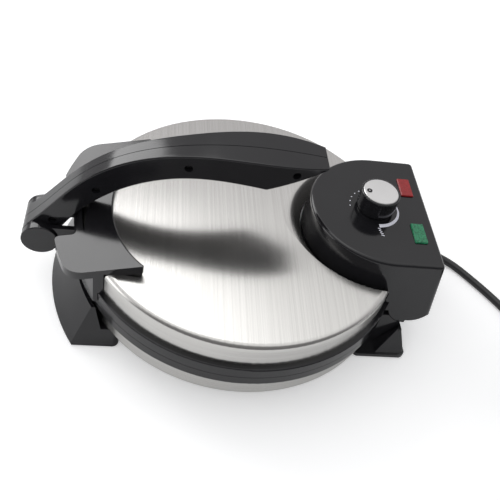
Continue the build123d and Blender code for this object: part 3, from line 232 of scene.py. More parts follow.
def stretched_noise(tree: bpy.types.NodeTree, scale: Point, detail: float) -> bpy.types.Node:
    """Add noise on Object coordinates with its own scale along each axis.

    Args:
        tree: the tree to add to.
        scale: repeats per metre along X, Y and Z.
        detail: the noise's octaves.

    Returns:
        The noise node.
    """
    place = tree.nodes.new("ShaderNodeTexCoord")
    mapping = tree.nodes.new("ShaderNodeMapping")
    mapping.inputs["Scale"].default_value = scale
    noise = tree.nodes.new("ShaderNodeTexNoise")
    noise.inputs["Scale"].default_value = 1.0
    noise.inputs["Detail"].default_value = detail
    tree.links.new(place.outputs["Object"], mapping.inputs["Vector"])
    tree.links.new(mapping.outputs["Vector"], noise.inputs["Vector"])
    return noise


def math_node(tree: bpy.types.NodeTree, operation: str, first: object, second: object) -> object:
    """Add a Math node and return its output socket.

    Args:
        tree: the tree to add to.
        operation: the node's operation.
        first: a socket or a number.
        second: a socket or a number.

    Returns:
        The output socket.
    """
    node = tree.nodes.new("ShaderNodeMath")
    node.operation = operation
    for socket, value in zip(node.inputs, (first, second)):
        if isinstance(value, bpy.types.NodeSocket):
            tree.links.new(value, socket)
        else:
            socket.default_value = value
    return node.outputs[0]


def mix_color(tree: bpy.types.NodeTree, factor: object, first: object, second: object) -> object:
    """Add a colour Mix node and return its output socket.

    Args:
        tree: the tree to add to.
        factor: a socket with the share of the second colour.
        first: a socket or a colour.
        second: a socket or a colour.

    Returns:
        The output socket.
    """
    node = tree.nodes.new("ShaderNodeMix")
    node.data_type = "RGBA"
    for index, value in ((0, factor), (6, first), (7, second)):
        if isinstance(value, bpy.types.NodeSocket):
            tree.links.new(value, node.inputs[index])
        else:
            node.inputs[index].default_value = value
    return node.outputs[2]


class SurfaceEffects:
    """The shader groups that several finishes share, each made once.

    The frequencies are repeats per metre along X, Y and Z.
    """

    PEEL: Point = (900.0, 900.0, 900.0)
    CLOUDS: Point = (26.0, 26.0, 26.0)
    CLOUD_TINT = 0.006
    CLOUD_ROUGHNESS = 0.12
    LINES_ON_TOP: Point = (1300.0, 5.0, 5.0)
    LINES_ROUND_SIDE: Point = (5.0, 5.0, 1300.0)
    TOP_ABOVE = 0.72
    LINE_CONTRAST = 0.16
    LINE_ROUGHNESS = 0.03
    STEEL_ROUGHNESS = 0.22
    PATCHES: Point = (45.0, 32.0, 45.0)
    PATCH_POWER = 3.0

    def __init__(self) -> None:
        """Build the groups."""
        self.skin = self._moulded_skin()
        self.brushing = self._brushed_lines()
        self.smudges = self._handling_smudges()

    def _moulded_skin(self) -> bpy.types.NodeTree:
        """Fine orange-peel texture and slight tone changes of moulded plastic.

        Returns:
            The group, with inputs Color, Roughness, Grain and outputs Color, Roughness, Height.
        """
        tree = new_group("moulded skin", {"Color": (0.02, 0.02, 0.02, 1.0), "Roughness": 0.3, "Grain": 0.5},
                         {"Color": "NodeSocketColor", "Roughness": "NodeSocketFloat",
                          "Height": "NodeSocketFloat"})
        source, sink = tree.nodes["Group Input"], tree.nodes["Group Output"]
        fine = stretched_noise(tree, self.PEEL, 3.0)
        broad = stretched_noise(tree, self.CLOUDS, 2.0)
        tint = tree.nodes.new("ShaderNodeBrightContrast")
        tree.links.new(source.outputs["Color"], tint.inputs["Color"])
        tree.links.new(math_node(tree, "MULTIPLY", broad.outputs["Fac"], self.CLOUD_TINT),
                       tint.inputs["Bright"])
        tree.links.new(tint.outputs["Color"], sink.inputs["Color"])
        centred = math_node(tree, "SUBTRACT", broad.outputs["Fac"], 0.5)
        spread = math_node(tree, "MULTIPLY", centred, self.CLOUD_ROUGHNESS)
        tree.links.new(math_node(tree, "ADD", source.outputs["Roughness"], spread),
                       sink.inputs["Roughness"])
        tree.links.new(math_node(tree, "MULTIPLY", fine.outputs["Fac"], source.outputs["Grain"]),
                       sink.inputs["Height"])
        return tree

    def _brushed_lines(self) -> bpy.types.NodeTree:
        """Brushed lines, along Y on upward faces when Across is 1 and round the axis elsewhere.

        Returns:
            The group, with inputs Color, Across and outputs Color, Roughness.
        """
        tree = new_group("brushed lines", {"Color": (0.6, 0.6, 0.6, 1.0), "Across": 1.0},
                         {"Color": "NodeSocketColor", "Roughness": "NodeSocketFloat"})
        source, sink = tree.nodes["Group Input"], tree.nodes["Group Output"]
        top = stretched_noise(tree, self.LINES_ON_TOP, 1.0)
        side = stretched_noise(tree, self.LINES_ROUND_SIDE, 1.0)
        geometry = tree.nodes.new("ShaderNodeNewGeometry")
        split = tree.nodes.new("ShaderNodeSeparateXYZ")
        tree.links.new(geometry.outputs["Normal"], split.inputs["Vector"])
        steepness = math_node(tree, "ABSOLUTE", split.outputs["Z"], 0.0)
        upward = math_node(tree, "GREATER_THAN", steepness, self.TOP_ABOVE)
        share = math_node(tree, "MULTIPLY", upward, source.outputs["Across"])
        blend = tree.nodes.new("ShaderNodeMix")
        tree.links.new(share, blend.inputs[0])
        tree.links.new(side.outputs["Fac"], blend.inputs[2])
        tree.links.new(top.outputs["Fac"], blend.inputs[3])
        lines = blend.outputs[0]
        darker = tree.nodes.new("ShaderNodeBrightContrast")
        tree.links.new(source.outputs["Color"], darker.inputs["Color"])
        centred = math_node(tree, "SUBTRACT", lines, 0.5)
        tree.links.new(math_node(tree, "MULTIPLY", centred, self.LINE_CONTRAST), darker.inputs["Bright"])
        tree.links.new(darker.outputs["Color"], sink.inputs["Color"])
        uneven = math_node(tree, "MULTIPLY", lines, self.LINE_ROUGHNESS)
        tree.links.new(math_node(tree, "ADD", uneven, self.STEEL_ROUGHNESS), sink.inputs["Roughness"])
        return tree

    def _handling_smudges(self) -> bpy.types.NodeTree:
        """Soft patches where hands and cloths leave a surface a little duller.

        Returns:
            The group, with inputs Roughness, Amount and output Roughness.
        """
        tree = new_group("handling smudges", {"Roughness": 0.3, "Amount": 0.1},
                         {"Roughness": "NodeSocketFloat"})
        source, sink = tree.nodes["Group Input"], tree.nodes["Group Output"]
        patches = stretched_noise(tree, self.PATCHES, 1.5)
        rise = math_node(tree, "POWER", patches.outputs["Fac"], self.PATCH_POWER)
        extra = math_node(tree, "MULTIPLY", rise, source.outputs["Amount"])
        tree.links.new(math_node(tree, "ADD", source.outputs["Roughness"], extra), sink.inputs["Roughness"])
        return tree


def placed(tree: bpy.types.NodeTree, group: bpy.types.NodeTree, **values: object) -> bpy.types.Node:
    """Place a shared group in a material with its own values.

    Args:
        tree: the material's node tree.
        group: the shared group.
        values: a number, a colour or a socket for each input, with the input's name in lower case.

    Returns:
        The group node.
    """
    node = tree.nodes.new("ShaderNodeGroup")
    node.node_tree = group
    for key, value in values.items():
        socket = node.inputs[key.capitalize()]
        if isinstance(value, bpy.types.NodeSocket):
            tree.links.new(value, socket)
        else:
            socket.default_value = value
    return node


def blank_material(name: str) -> tuple[bpy.types.Material, bpy.types.Node]:
    """Make a material that holds only a Principled BSDF and its output.

    Args:
        name: the finish's name.

    Returns:
        The material and its Principled BSDF.
    """
    material = bpy.data.materials.new(name)
    material.use_nodes = True
    return material, material.node_tree.nodes["Principled BSDF"]


def bump(tree: bpy.types.NodeTree, height: object, depth: float, shader: bpy.types.Node) -> None:
    """Feed a height to a shader's normal.

    Args:
        tree: the material's node tree.
        height: the height's socket.
        depth: the bump's depth in metres.
        shader: the Principled BSDF.
    """
    node = tree.nodes.new("ShaderNodeBump")
    node.inputs["Strength"].default_value = 1.0
    node.inputs["Distance"].default_value = depth
    tree.links.new(height, node.inputs["Height"])
    tree.links.new(node.outputs["Normal"], shader.inputs["Normal"])


# ---------------------------------------------------------------- finishes
@dataclass(frozen=True)
class MouldedPlastic:
    """Moulded plastic or rubber with a fine skin."""

    name: str
    color: Color
    roughness: float
    grain: float = 0.5
    smudge: float = 0.1
    depth: float = 0.006 * MM

    def material(self, effects: SurfaceEffects) -> bpy.types.Material:
        """Build the material.

        Args:
            effects: the shared groups.

        Returns:
            The material.
        """
        material, shader = blank_material(self.name)
        tree = material.node_tree
        skin = placed(tree, effects.skin, color=self.color, roughness=self.roughness, grain=self.grain)
        worn = placed(tree, effects.smudges, roughness=skin.outputs["Roughness"], amount=self.smudge)
        tree.links.new(skin.outputs["Color"], shader.inputs["Base Color"])
        tree.links.new(worn.outputs["Roughness"], shader.inputs["Roughness"])
        bump(tree, skin.outputs["Height"], self.depth, shader)
        return material


@dataclass(frozen=True)
class BrushedSheet:
    """Brushed stainless sheet."""

    name: str
    color: Color
    grain: Grain
    smudge: float = 0.05
    anisotropy: float = 0.7

    def material(self, effects: SurfaceEffects) -> bpy.types.Material:
        """Build the material.

        Args:
            effects: the shared groups.

        Returns:
            The material.
        """
        material, shader = blank_material(self.name)
        tree = material.node_tree
        across = 1.0 if self.grain is Grain.ACROSS else 0.0
        lines = placed(tree, effects.brushing, color=self.color, across=across)
        worn = placed(tree, effects.smudges, roughness=lines.outputs["Roughness"], amount=self.smudge)
        tree.links.new(lines.outputs["Color"], shader.inputs["Base Color"])
        tree.links.new(worn.outputs["Roughness"], shader.inputs["Roughness"])
        shader.inputs["Metallic"].default_value = 1.0
        if self.grain is Grain.ACROSS:
            shader.inputs["Anisotropic"].default_value = self.anisotropy
            along = tree.nodes.new("ShaderNodeCombineXYZ")
            along.inputs["X"].default_value = 1.0
            turned = tree.nodes.new("ShaderNodeVectorTransform")
            turned.vector_type = "VECTOR"
            turned.convert_from = "OBJECT"
            turned.convert_to = "WORLD"
            tree.links.new(along.outputs["Vector"], turned.inputs["Vector"])
            tree.links.new(turned.outputs["Vector"], shader.inputs["Tangent"])
        return material


@dataclass(frozen=True)
class PlainMetal:
    """Turned, plated or cast metal with fine marks."""

    name: str
    color: Color
    roughness: float
    grain: float = 0.5
    smudge: float = 0.2
    depth: float = 0.01 * MM

    def material(self, effects: SurfaceEffects) -> bpy.types.Material:
        """Build the material.

        Args:
            effects: the shared groups.

        Returns:
            The material.
        """
        material, shader = blank_material(self.name)
        tree = material.node_tree
        skin = placed(tree, effects.skin, color=self.color, roughness=self.roughness, grain=self.grain)
        worn = placed(tree, effects.smudges, roughness=skin.outputs["Roughness"], amount=self.smudge)
        tree.links.new(skin.outputs["Color"], shader.inputs["Base Color"])
        tree.links.new(worn.outputs["Roughness"], shader.inputs["Roughness"])
        shader.inputs["Metallic"].default_value = 1.0
        bump(tree, skin.outputs["Height"], self.depth, shader)
        return material


@dataclass(frozen=True)
class LampPlastic:
    """Tinted lens of an indicator lamp, smooth or rippled inside."""

    name: str
    color: Color
    deep: Color
    ripple: float
    roughness: float = 0.22
    grain: float = 0.4
    cells_per_metre: float = 620.0
    cell_depth: float = 0.12 * MM
    scatter: float = 0.15
    scatter_reach: Point = (2.0 * MM, 2.0 * MM, 2.0 * MM)

    def material(self, effects: SurfaceEffects) -> bpy.types.Material:
        """Build the material.

        Args:
            effects: the shared groups.

        Returns:
            The material.
        """
        material, shader = blank_material(self.name)
        tree = material.node_tree
        skin = placed(tree, effects.skin, color=self.color, roughness=self.roughness, grain=self.grain)
        cells = tree.nodes.new("ShaderNodeTexVoronoi")
        cells.inputs["Scale"].default_value = self.cells_per_metre
        place = tree.nodes.new("ShaderNodeTexCoord")
        tree.links.new(place.outputs["Object"], cells.inputs["Vector"])
        depth = math_node(tree, "MULTIPLY", cells.outputs["Distance"], self.ripple)
        shade = mix_color(tree, depth, skin.outputs["Color"], self.deep)
        tree.links.new(shade, shader.inputs["Base Color"])
        tree.links.new(skin.outputs["Roughness"], shader.inputs["Roughness"])
        shader.inputs["Subsurface Weight"].default_value = self.scatter
        shader.inputs["Subsurface Radius"].default_value = self.scatter_reach
        bump(tree, cells.outputs["Distance"], self.cell_depth * self.ripple, shader)
        return material


BLACK = (0.0062, 0.006, 0.0074, 1.0)
FINISHES: dict[str, MouldedPlastic | BrushedSheet | PlainMetal | LampPlastic] = {
    "black_gloss": MouldedPlastic("black gloss plastic", BLACK, 0.13, 0.35, 0.12),
    "black_satin": MouldedPlastic("black satin plastic", BLACK, 0.3, 0.6, 0.15),
    "black_matte": MouldedPlastic("black inner plastic", (0.03, 0.03, 0.031, 1.0), 0.55, 1.0, 0.1),
    "stainless": BrushedSheet("brushed stainless cover", (0.66, 0.65, 0.63, 1.0), Grain.ACROSS),
    "drum_steel": BrushedSheet("brushed stainless drum", (0.64, 0.63, 0.61, 1.0), Grain.ROUND),
    "zinc_steel": PlainMetal("zinc-plated steel", (0.55, 0.56, 0.57, 1.0), 0.32),
    "plate_coating": MouldedPlastic("non-stick plate coating", (0.035, 0.034, 0.034, 1.0), 0.42, 1.4, 0.2,
                                    0.03 * MM),
    "element_sheath": PlainMetal("heater sheath", (0.26, 0.25, 0.24, 1.0), 0.5),
    "galvanised_sheet": PlainMetal("galvanised sheet", (0.6, 0.61, 0.62, 1.0), 0.45, 1.2),
    "thermostat_metal": PlainMetal("thermostat body", (0.5, 0.5, 0.48, 1.0), 0.45),
    "knob_metal": PlainMetal("satin knob disc", (0.74, 0.735, 0.73, 1.0), 0.34, 0.6),
    "dark_screw": PlainMetal("blackened screw", (0.05, 0.05, 0.052, 1.0), 0.4),
    "rubber": MouldedPlastic("black rubber", (0.02, 0.02, 0.02, 1.0), 0.75, 1.6, 0.1, 0.02 * MM),
    "cord_rubber": MouldedPlastic("flexible lead sheath", (0.014, 0.014, 0.015, 1.0), 0.42, 0.8, 0.12),
    "ceramic_block": MouldedPlastic("white ceramic", (0.8, 0.79, 0.75, 1.0), 0.6, 1.0, 0.1),
    "brass_pins": PlainMetal("plain brass", (0.7, 0.55, 0.3, 1.0), 0.3),
    "red_lens": LampPlastic("red lamp lens", (0.34, 0.012, 0.014, 1.0), (0.1, 0.003, 0.004, 1.0), 0.5),
    "green_lens": LampPlastic("green lamp lens", (0.03, 0.3, 0.14, 1.0), (0.004, 0.07, 0.03, 1.0), 1.0),
    "white_print": MouldedPlastic("white panel print", (0.78, 0.78, 0.86, 1.0), 0.5, 0.6, 0.05),
}
NODE_FINISH_OVERRIDES = {"base_drum": "drum_steel"}


class Palette:
    """The materials, built on first use."""

    def __init__(self) -> None:
        """Build the shared groups and start with no material."""
        self.effects = SurfaceEffects()
        self._made: dict[str, bpy.types.Material] = {}

    def get(self, finish: str) -> bpy.types.Material:
        """Return a finish's material, built once.

        Args:
            finish: a key of FINISHES.

        Returns:
            The material.
        """
        if finish not in self._made:
            self._made[finish] = FINISHES[finish].material(self.effects)
        return self._made[finish]

    def dress(self, piece: bpy.types.Object, finish: str) -> None:
        """Put a finish on every slot of a piece.

        Args:
            piece: a CAD node or a new piece.
            finish: a key of FINISHES.
        """
        if not piece.material_slots:
            piece.data.materials.append(None)
        for slot in piece.material_slots:
            slot.link = "OBJECT"
            slot.material = self.get(finish)


# ---------------------------------------------------------------- studio
@dataclass(frozen=True)
class Softbox:
    """One square softbox: its centre, side in metres and power in watts."""

    name: str
    place: Point
    side: float
    power: float
    mirrored: bool = True

    def hang(self, aim: Vector) -> None:
        """Add the lamp, facing a point.

        Args:
            aim: the point that it faces.
        """
        lamp = bpy.data.lights.new(self.name, "AREA")
        lamp.size = self.side
        lamp.energy = self.power
        holder = bpy.data.objects.new(self.name, lamp)
        bpy.context.scene.collection.objects.link(holder)
        holder.location = self.place
        holder.rotation_euler = (aim - Vector(self.place)).to_track_quat("-Z", "Y").to_euler()
        holder.visible_glossy = self.mirrored


@dataclass(frozen=True)
class Studio:
    """Camera at the photograph's angle, pale floor and soft light.

    The turns are in degrees and the lens and sensor in millimetres. The wall and ceiling levels are
    heights on the world's unit sphere, and the front and back edges say where the room's brightness, as
    reflections find it, starts and ends its rise.
    """

    target: Point = (14.629 * MM, -18.954 * MM, 55.0 * MM)
    distance: float = 539.893 * MM
    elevation: float = 46.6863
    yaw: float = -14.2021
    roll: float = 14.4583
    lens: float = 48.538
    sensor: float = 36.0
    nearest: float = 10.0 * MM
    softboxes: tuple[Softbox, ...] = (
        Softbox("overhead_softbox", (-0.3, 0.5, 1.5), 1.2, 4.5),
        Softbox("front_softbox", (-0.7, -1.3, 0.9), 0.9, 4.5, mirrored=False),
        Softbox("left_softbox", (-0.85, 0.95, 0.85), 0.8, 8.0),
        Softbox("side_softbox", (-1.4, -0.1, 0.2), 0.8, 3.5))
    room_level: float = 0.6
    room_color: Color = (0.98, 0.985, 1.0, 1.0)
    wall_color: Color = (0.62, 0.61, 0.62, 1.0)
    wall_top: float = 0.52
    ceiling_edge: float = 0.86
    front_edge: float = -0.3
    back_edge: float = 0.25
    height_share: float = 0.55
    front_level: float = 0.3
    floor_side: float = 8.0
    floor_depth: float = 0.05 * MM
    floor_color: Color = (0.92, 0.92, 0.92, 1.0)
    floor_roughness: float = 0.9
    floor_shine: float = 0.1
    floor_glow: float = 0.3

    def place_camera(self) -> None:
        """Add the camera and make it the scene's."""
        lift, yaw, roll = (math.radians(value) for value in (self.elevation, self.yaw, self.roll))
        back = Vector((math.sin(yaw) * math.cos(lift), -math.cos(yaw) * math.cos(lift), math.sin(lift)))
        level = Vector((math.cos(yaw), math.sin(yaw), 0.0))
        upright = back.cross(level)
        right = level * math.cos(roll) + upright * math.sin(roll)
        above = upright * math.cos(roll) - level * math.sin(roll)
        camera = bpy.data.objects.new("studio_camera", bpy.data.cameras.new("studio_camera"))
        bpy.context.scene.collection.objects.link(camera)
        camera.data.lens = self.lens
        camera.data.sensor_width = self.sensor
        camera.data.clip_start = self.nearest
        turn = Matrix((right, above, back)).transposed().to_4x4()
        turn.translation = Vector(self.target) + back * self.distance
        camera.matrix_world = turn
        bpy.context.scene.camera = camera

    def light_world(self) -> None:
        """Give the camera and reflections a white room and matt surfaces a softer one."""
        world = bpy.data.worlds.new("studio")
        bpy.context.scene.world = world
        world.use_nodes = True
        tree = world.node_tree
        room = tree.nodes["Background"]
        room.inputs["Color"].default_value = self.room_color
        room.inputs["Strength"].default_value = self.room_level
        white = tree.nodes.new("ShaderNodeBackground")
        white.inputs["Color"].default_value = WHITE
        white.inputs["Strength"].default_value = 1.0
        ceiling = tree.nodes.new("ShaderNodeBackground")
        place = tree.nodes.new("ShaderNodeTexCoord")
        split = tree.nodes.new("ShaderNodeSeparateXYZ")
        ramp = tree.nodes.new("ShaderNodeValToRGB")
        ramp.color_ramp.interpolation = "EASE"
        ends = ((self.wall_top, self.wall_color), (self.ceiling_edge, WHITE))
        for element, (position, color) in zip(ramp.color_ramp.elements, ends):
            element.position = position
            element.color = color
        tree.links.new(place.outputs["Generated"], split.inputs["Vector"])
        tree.links.new(split.outputs["Z"], ramp.inputs["Fac"])
        tree.links.new(ramp.outputs["Color"], ceiling.inputs["Color"])
        # Reflections find the room darker in front of the object than above and behind it.
        lifted = math_node(tree, "MULTIPLY", split.outputs["Z"], self.height_share)
        lean = math_node(tree, "ADD", split.outputs["Y"], lifted)
        fade = tree.nodes.new("ShaderNodeMapRange")
        fade.interpolation_type = "SMOOTHSTEP"
        for label, value in (("From Min", self.front_edge), ("From Max", self.back_edge),
                             ("To Min", self.front_level), ("To Max", 1.0)):
            fade.inputs[label].default_value = value
        tree.links.new(lean, fade.inputs["Value"])
        tree.links.new(fade.outputs["Result"], ceiling.inputs["Strength"])
        rays = tree.nodes.new("ShaderNodeLightPath")
        shiny = tree.nodes.new("ShaderNodeMixShader")
        seen = tree.nodes.new("ShaderNodeMixShader")
        tree.links.new(math_node(tree, "MAXIMUM", rays.outputs["Is Glossy Ray"],
                                 rays.outputs["Is Transmission Ray"]), shiny.inputs["Fac"])
        tree.links.new(room.outputs[0], shiny.inputs[1])
        tree.links.new(ceiling.outputs[0], shiny.inputs[2])
        tree.links.new(rays.outputs["Is Camera Ray"], seen.inputs["Fac"])
        tree.links.new(shiny.outputs[0], seen.inputs[1])
        tree.links.new(white.outputs[0], seen.inputs[2])
        tree.links.new(seen.outputs[0], tree.nodes["World Output"].inputs["Surface"])

    def lay_floor(self) -> None:
        """Lay a white floor that keeps the object's shadow."""
        nothing_selected()
        bpy.ops.mesh.primitive_plane_add(size=self.floor_side, location=(0.0, 0.0, -self.floor_depth))
        floor = settle(bpy.context.active_object, "studio_floor")
        material, shader = blank_material("pale floor")
        shader.inputs["Base Color"].default_value = self.floor_color
        shader.inputs["Roughness"].default_value = self.floor_roughness
        shader.inputs["Specular IOR Level"].default_value = self.floor_shine
        tree = material.node_tree
        rays = tree.nodes.new("ShaderNodeLightPath")
        glow = math_node(tree, "MULTIPLY", rays.outputs["Is Camera Ray"], self.floor_glow)
        shader.inputs["Emission Color"].default_value = WHITE
        tree.links.new(glow, shader.inputs["Emission Strength"])
        floor.data.materials.append(material)

    def build(self) -> None:
        """Set up the whole studio."""
        self.place_camera()
        self.light_world()
        for softbox in self.softboxes:
            softbox.hang(Vector(self.target))
        self.lay_floor()
        bpy.context.scene.view_settings.view_transform = "Standard"
        LOG.info("studio set")


# ---------------------------------------------------------------- mains lead
@dataclass(frozen=True)
class MainsLead:
    """Flexible lead: out of the base, along the worktop and into a stored coil.

    The exit point, relief, route, turns and rise are in CAD millimetres. The coil's control points lie
    outside its radius by the bulge, because the curve runs inside them.
    """

    diameter: float = 7.0 * MM
    exit_point: Point = (139.0, 44.6, 11.8)
    relief: float = 22.0
    route: tuple[Point, ...] = ((200.2, 44.6, 3.5), (240.0, -5.5, 3.5), (258.0, -38.0, 3.5),
                                (258.0, -70.0, 3.5))
    turns: tuple[float, ...] = (46.0, 42.1, 38.2, 34.3, 24.5, 34.3, 38.2, 42.1, 46.0)
    rise: float = 10.0
    points_per_half: int = 8
    bulge: float = 1.012
    length: float = 1126.6 * MM

    def start(self) -> Vector:
        """Return where the lead leaves its strain relief, in CAD millimetres."""
        root = Vector(self.exit_point)
        return root + (Vector(self.route[0]) - root).normalized() * self.relief

    def coil_points(self) -> list[Vector]:
        """Return the coil's control points, wound outwards in two layers."""
        entry = Vector(self.route[-1])
        centre = entry + Vector((self.turns[0], -self.diameter / MM, 0.0))
        points = []
        steps = (len(self.turns) - 1) * self.points_per_half
        for step in range(steps + 1):
            half, share = divmod(step / self.points_per_half, 1.0)
            here = int(half)
            there = min(here + 1, len(self.turns) - 1)
            reach = self.turns[here] + (self.turns[there] - self.turns[here]) * share
            climb = min(1.0, max(0.0, step / self.points_per_half - len(self.turns) // 2 + 1))
            angle = math.pi * (1.0 + step / self.points_per_half)
            stretch = 1.0 if step in (0, steps) else self.bulge
            points.append(centre + Vector((math.cos(angle) * reach * stretch,
                                           math.sin(angle) * reach * stretch, climb * self.rise)))
        return points

    def control_points(self) -> list[Vector]:
        """Return all control points in metres in the frame's axes."""
        coil = self.coil_points()
        end = coil[-1] + Vector((0.0, -self.diameter / MM, 0.0))
        route = [self.start(), *(Vector(point) for point in self.route), *coil, end]
        return [point * MM + Vector((LID_AXIS_X, 0.0, 0.0)) for point in route]

    def build(self, palette: Palette) -> None:
        """Args:
            palette: the materials.
        """
        curve = bpy.data.curves.new("mains_lead", "CURVE")
        curve.dimensions = "3D"
        curve.bevel_depth = self.diameter / 2
        curve.bevel_resolution = 5
        curve.resolution_u = 8
        curve.use_fill_caps = True
        points = self.control_points()
        spline = curve.splines.new("NURBS")
        spline.points.add(len(points) - 1)
        for knot, point in zip(spline.points, points):
            knot.co = (*point, 1.0)
        spline.order_u = 3
        spline.use_endpoint_u = True
        lead = bpy.data.objects.new("mains_lead", curve)
        bpy.context.scene.collection.objects.link(lead)
        palette.dress(lead, "cord_rubber")
        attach(lead, "base")
        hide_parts("cord", "cord_coil")
        LOG.info("mains lead: %d points", len(points))


# ---------------------------------------------------------------- control panel
@dataclass(frozen=True)
class PanelPrint:
    """White scale printed round the knob: dots, a widening arc and short ticks."""

    knob_x: float = 101.0 * MM + LID_AXIS_X
    top: float = 95.0 * MM
    ink: float = 0.06 * MM
    dot_ring: float = 20.4 * MM
    dot_radius: float = 0.55 * MM
    dot_angles: tuple[float, ...] = (179.0, 164.0, 149.0, 134.0, 120.0)
    arc_inner: float = 18.6 * MM
    arc_start: float = 8.0
    arc_sweep: float = 98.0
    arc_thin: float = 1.0 * MM
    arc_wide: float = 3.6 * MM
    points_per_turn: int = 180
    points_per_dot: int = 20
    tick_count: int = 4
    tick_start: Point = (-0.6 * MM, -23.6 * MM, 0.0)
    tick_step: Point = (0.5 * MM, -2.3 * MM, 0.0)
    tick_size: Point = (2.6 * MM, 0.75 * MM, 1.0)
    tick_slant: float = -28.0

    def _dots(self) -> bpy.types.Object:
        """Return the row of dots as one flat mesh."""
        pieces = []
        for angle in self.dot_angles:
            turn = math.radians(angle)
            nothing_selected()
            place = Vector((math.cos(turn), math.sin(turn), 0.0)) * self.dot_ring
            bpy.ops.mesh.primitive_circle_add(vertices=self.points_per_dot, radius=self.dot_radius,
                                              fill_type="NGON",
                                              location=Vector((self.knob_x, 0.0, self.top)) + place)
            pieces.append(bpy.context.active_object)
        return joined(pieces, "scale_dots")

    def _arc_share(self, spoke: Vector) -> float:
        """Return how far along the arc a direction from the knob's axis lies, from 0 to 1."""
        turned = (math.radians(self.arc_start) - math.atan2(spoke.y, spoke.x)) % math.tau
        return turned / math.radians(self.arc_sweep)

    def _arc(self) -> bpy.types.Object:
        """Return the arc that widens towards the hottest setting."""
        centre = Vector((self.knob_x, 0.0, self.top))
        nothing_selected()
        bpy.ops.mesh.primitive_circle_add(vertices=self.points_per_turn, radius=self.arc_inner,
                                          fill_type="NOTHING", location=centre)
        strip = settle(bpy.context.active_object, "heat_arc")
        select_vertices(strip, lambda place: self._arc_share(place - centre) > 1.0)
        bpy.ops.mesh.delete(type="VERT")
        bpy.ops.mesh.select_all(action="SELECT")
        bpy.ops.mesh.extrude_region_move()
        bpy.ops.object.mode_set(mode="OBJECT")
        for vertex in strip.data.vertices:
            if vertex.select:
                spoke = vertex.co - centre
                width = self.arc_thin + (self.arc_wide - self.arc_thin) * self._arc_share(spoke)
                vertex.co = centre + spoke.normalized() * (self.arc_inner + width)
        return strip

    def _ticks(self) -> bpy.types.Object:
        """Return the short ticks at the arc's wide end."""
        pieces = []
        root = Vector((self.knob_x, 0.0, self.top)) + Vector(self.tick_start)
        for step in range(self.tick_count):
            nothing_selected()
            bpy.ops.mesh.primitive_plane_add(size=1.0, location=root + Vector(self.tick_step) * step,
                                             rotation=(0.0, 0.0, math.radians(self.tick_slant)))
            tick = bpy.context.active_object
            tick.scale = self.tick_size
            pieces.append(tick)
        return joined(pieces, "scale_ticks")

    def build(self, palette: Palette) -> None:
        """Make the print and lay it on the panel.

        Args:
            palette: the materials.
        """
        for piece in (self._dots(), self._arc(), self._ticks()):
            make_active(piece)
            skin = piece.modifiers.new("ink", "SOLIDIFY")
            skin.thickness = self.ink
            skin.offset = 0.0
            bpy.ops.object.modifier_apply(modifier=skin.name)
            bpy.ops.object.mode_set(mode="EDIT")
            bpy.ops.mesh.select_all(action="SELECT")
            bpy.ops.mesh.normals_make_consistent(inside=False)
            bpy.ops.object.mode_set(mode="OBJECT")
            palette.dress(piece, "white_print")
            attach(piece, "lid")
            LOG.info("panel print: %s", piece.name)


@dataclass(frozen=True)
class KnobPointer:
    """Small black insert in the knob's disc, with a pale centre dot."""

    x: float = (101.0 - 9.6) * MM + LID_AXIS_X
    seat: float = 112.2 * MM
    radius: float = 2.2 * MM
    thickness: float = 0.45 * MM
    stand: float = 0.2 * MM
    rim: float = 0.8 * MM
    dish_depth: float = 0.12 * MM
    boss_wall: float = 0.35 * MM
    boss_rise: float = 0.1 * MM
    dot_radius: float = 0.5 * MM
    dot_height: float = 0.66 * MM
    dot_thickness: float = 0.06 * MM
    topward: float = 0.9

    def build(self, palette: Palette) -> None:
        """Make the insert and its dot.

        Args:
            palette: the materials.
        """
        nothing_selected()
        middle = self.seat + self.stand + self.thickness / 2
        bpy.ops.mesh.primitive_cylinder_add(vertices=40, radius=self.radius, depth=self.thickness,
                                            location=(self.x, 0.0, middle))
        insert = settle(bpy.context.active_object, "pointer_insert")
        bpy.ops.object.mode_set(mode="EDIT")
        bpy.ops.mesh.select_all(action="DESELECT")
        bpy.ops.object.mode_set(mode="OBJECT")
        for face in insert.data.polygons:
            face.select = face.normal.z > self.topward
        bpy.ops.object.mode_set(mode="EDIT")
        bpy.ops.mesh.inset(thickness=self.rim, depth=-self.dish_depth)
        bpy.ops.mesh.inset(thickness=self.boss_wall, depth=self.boss_rise)
        bpy.ops.object.mode_set(mode="OBJECT")
        palette.dress(insert, "black_gloss")
        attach(insert, "knob")
        nothing_selected()
        bpy.ops.mesh.primitive_circle_add(vertices=24, radius=self.dot_radius, fill_type="NGON",
                                          location=(self.x, 0.0, self.seat + self.dot_height))
        dot = settle(bpy.context.active_object, "pointer_dot")
        skin = dot.modifiers.new("thickness", "SOLIDIFY")
        skin.thickness = self.dot_thickness
        bpy.ops.object.modifier_apply(modifier=skin.name)
        palette.dress(dot, "knob_metal")
        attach(dot, "knob")
        LOG.info("knob pointer made")


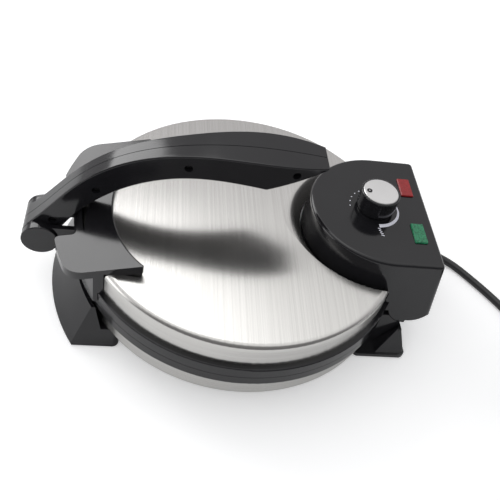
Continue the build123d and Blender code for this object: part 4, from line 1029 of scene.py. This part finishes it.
# ---------------------------------------------------------------- moulded shells
@dataclass(frozen=True)
class MouldedShells:
    """Black mouldings whose sharp CAD edges get a mould's small rounding."""

    rounding: float = 0.35 * MM
    seam: float = 0.28 * MM
    parting_within: float = 0.01 * MM
    shells: tuple[tuple[str, str, str], ...] = (
        ("base_frame", "base", "base_moulding"), ("front_bracket", "lid", "bracket_moulding"),
        ("hinge_bracket", "base", "hinge_moulding"), ("control_housing", "lid", "housing_moulding"))
    grips: tuple[tuple[str, str, float], ...] = (
        ("handle_near_half", "handle_near_moulding", -1.0), ("handle_far_half", "handle_far_moulding", 1.0))

    def _put(self, piece: bpy.types.Object, node: str, body: str, palette: Palette) -> None:
        """Dress a moulding and let it stand for its CAD node.

        Args:
            piece: the moulding.
            node: the CAD node that it replaces.
            body: the body that it rides on.
            palette: the materials.
        """
        palette.dress(piece, "black_gloss")
        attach(piece, body)
        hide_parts(node)
        LOG.info("moulding: %s", piece.name)

    def _grip_half(self, node: str, name: str, side: float) -> bpy.types.Object:
        """Chamfer the parting edge of one half of the handle.

        Args:
            node: the CAD node of the half.
            name: the new piece's name.
            side: 1 for the half at +Y and -1 for the other.

        Returns:
            The half.
        """
        piece = merged_copy(node, name, join_flats=False)
        bpy.ops.object.mode_set(mode="EDIT")
        bpy.ops.mesh.select_all(action="SELECT")
        bpy.ops.mesh.bisect(plane_co=(0.0, side * self.seam, 0.0), plane_no=(0.0, 1.0, 0.0))
        bpy.ops.object.mode_set(mode="OBJECT")
        for vertex in piece.data.vertices:
            if abs(vertex.co.y) < self.parting_within:
                vertex.co = vertex.co - vertex.normal * self.seam
        shade_by_walls(piece)
        return piece

    def build(self, palette: Palette) -> None:
        """Replace each moulding by its softened copy.

        Args:
            palette: the materials.
        """
        for node, body, name in self.shells:
            piece = merged_copy(node, name)
            soften_edges(piece, self.rounding)
            self._put(piece, node, body, palette)
        for node, name, side in self.grips:
            self._put(self._grip_half(node, name, side), node, "handle", palette)


# ---------------------------------------------------------------- assembly
def dress_nodes(frame: dict, palette: Palette) -> None:
    """Give every CAD node its finish.

    Args:
        palette: the materials.
    """
    slots = {entry["node"]: entry["material_slot"] for entry in frame["record"]["subparts"]}
    for name, node in frame["nodes"].items():
        palette.dress(node, NODE_FINISH_OVERRIDES.get(name, slots[name]))
        LOG.info("dressed %s", name)


def main() -> None:
    """Build the scene and report each piece."""
    logging.basicConfig(level=logging.INFO, format="%(name)s: %(message)s")
    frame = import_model()
    palette = Palette()
    Studio().build()
    MainsLead().build(palette)
    dress_nodes(frame, palette)
    MouldedShells().build(palette)
    PanelPrint().build(palette)
    KnobPointer().build(palette)


if __name__ == "__main__":
    main()
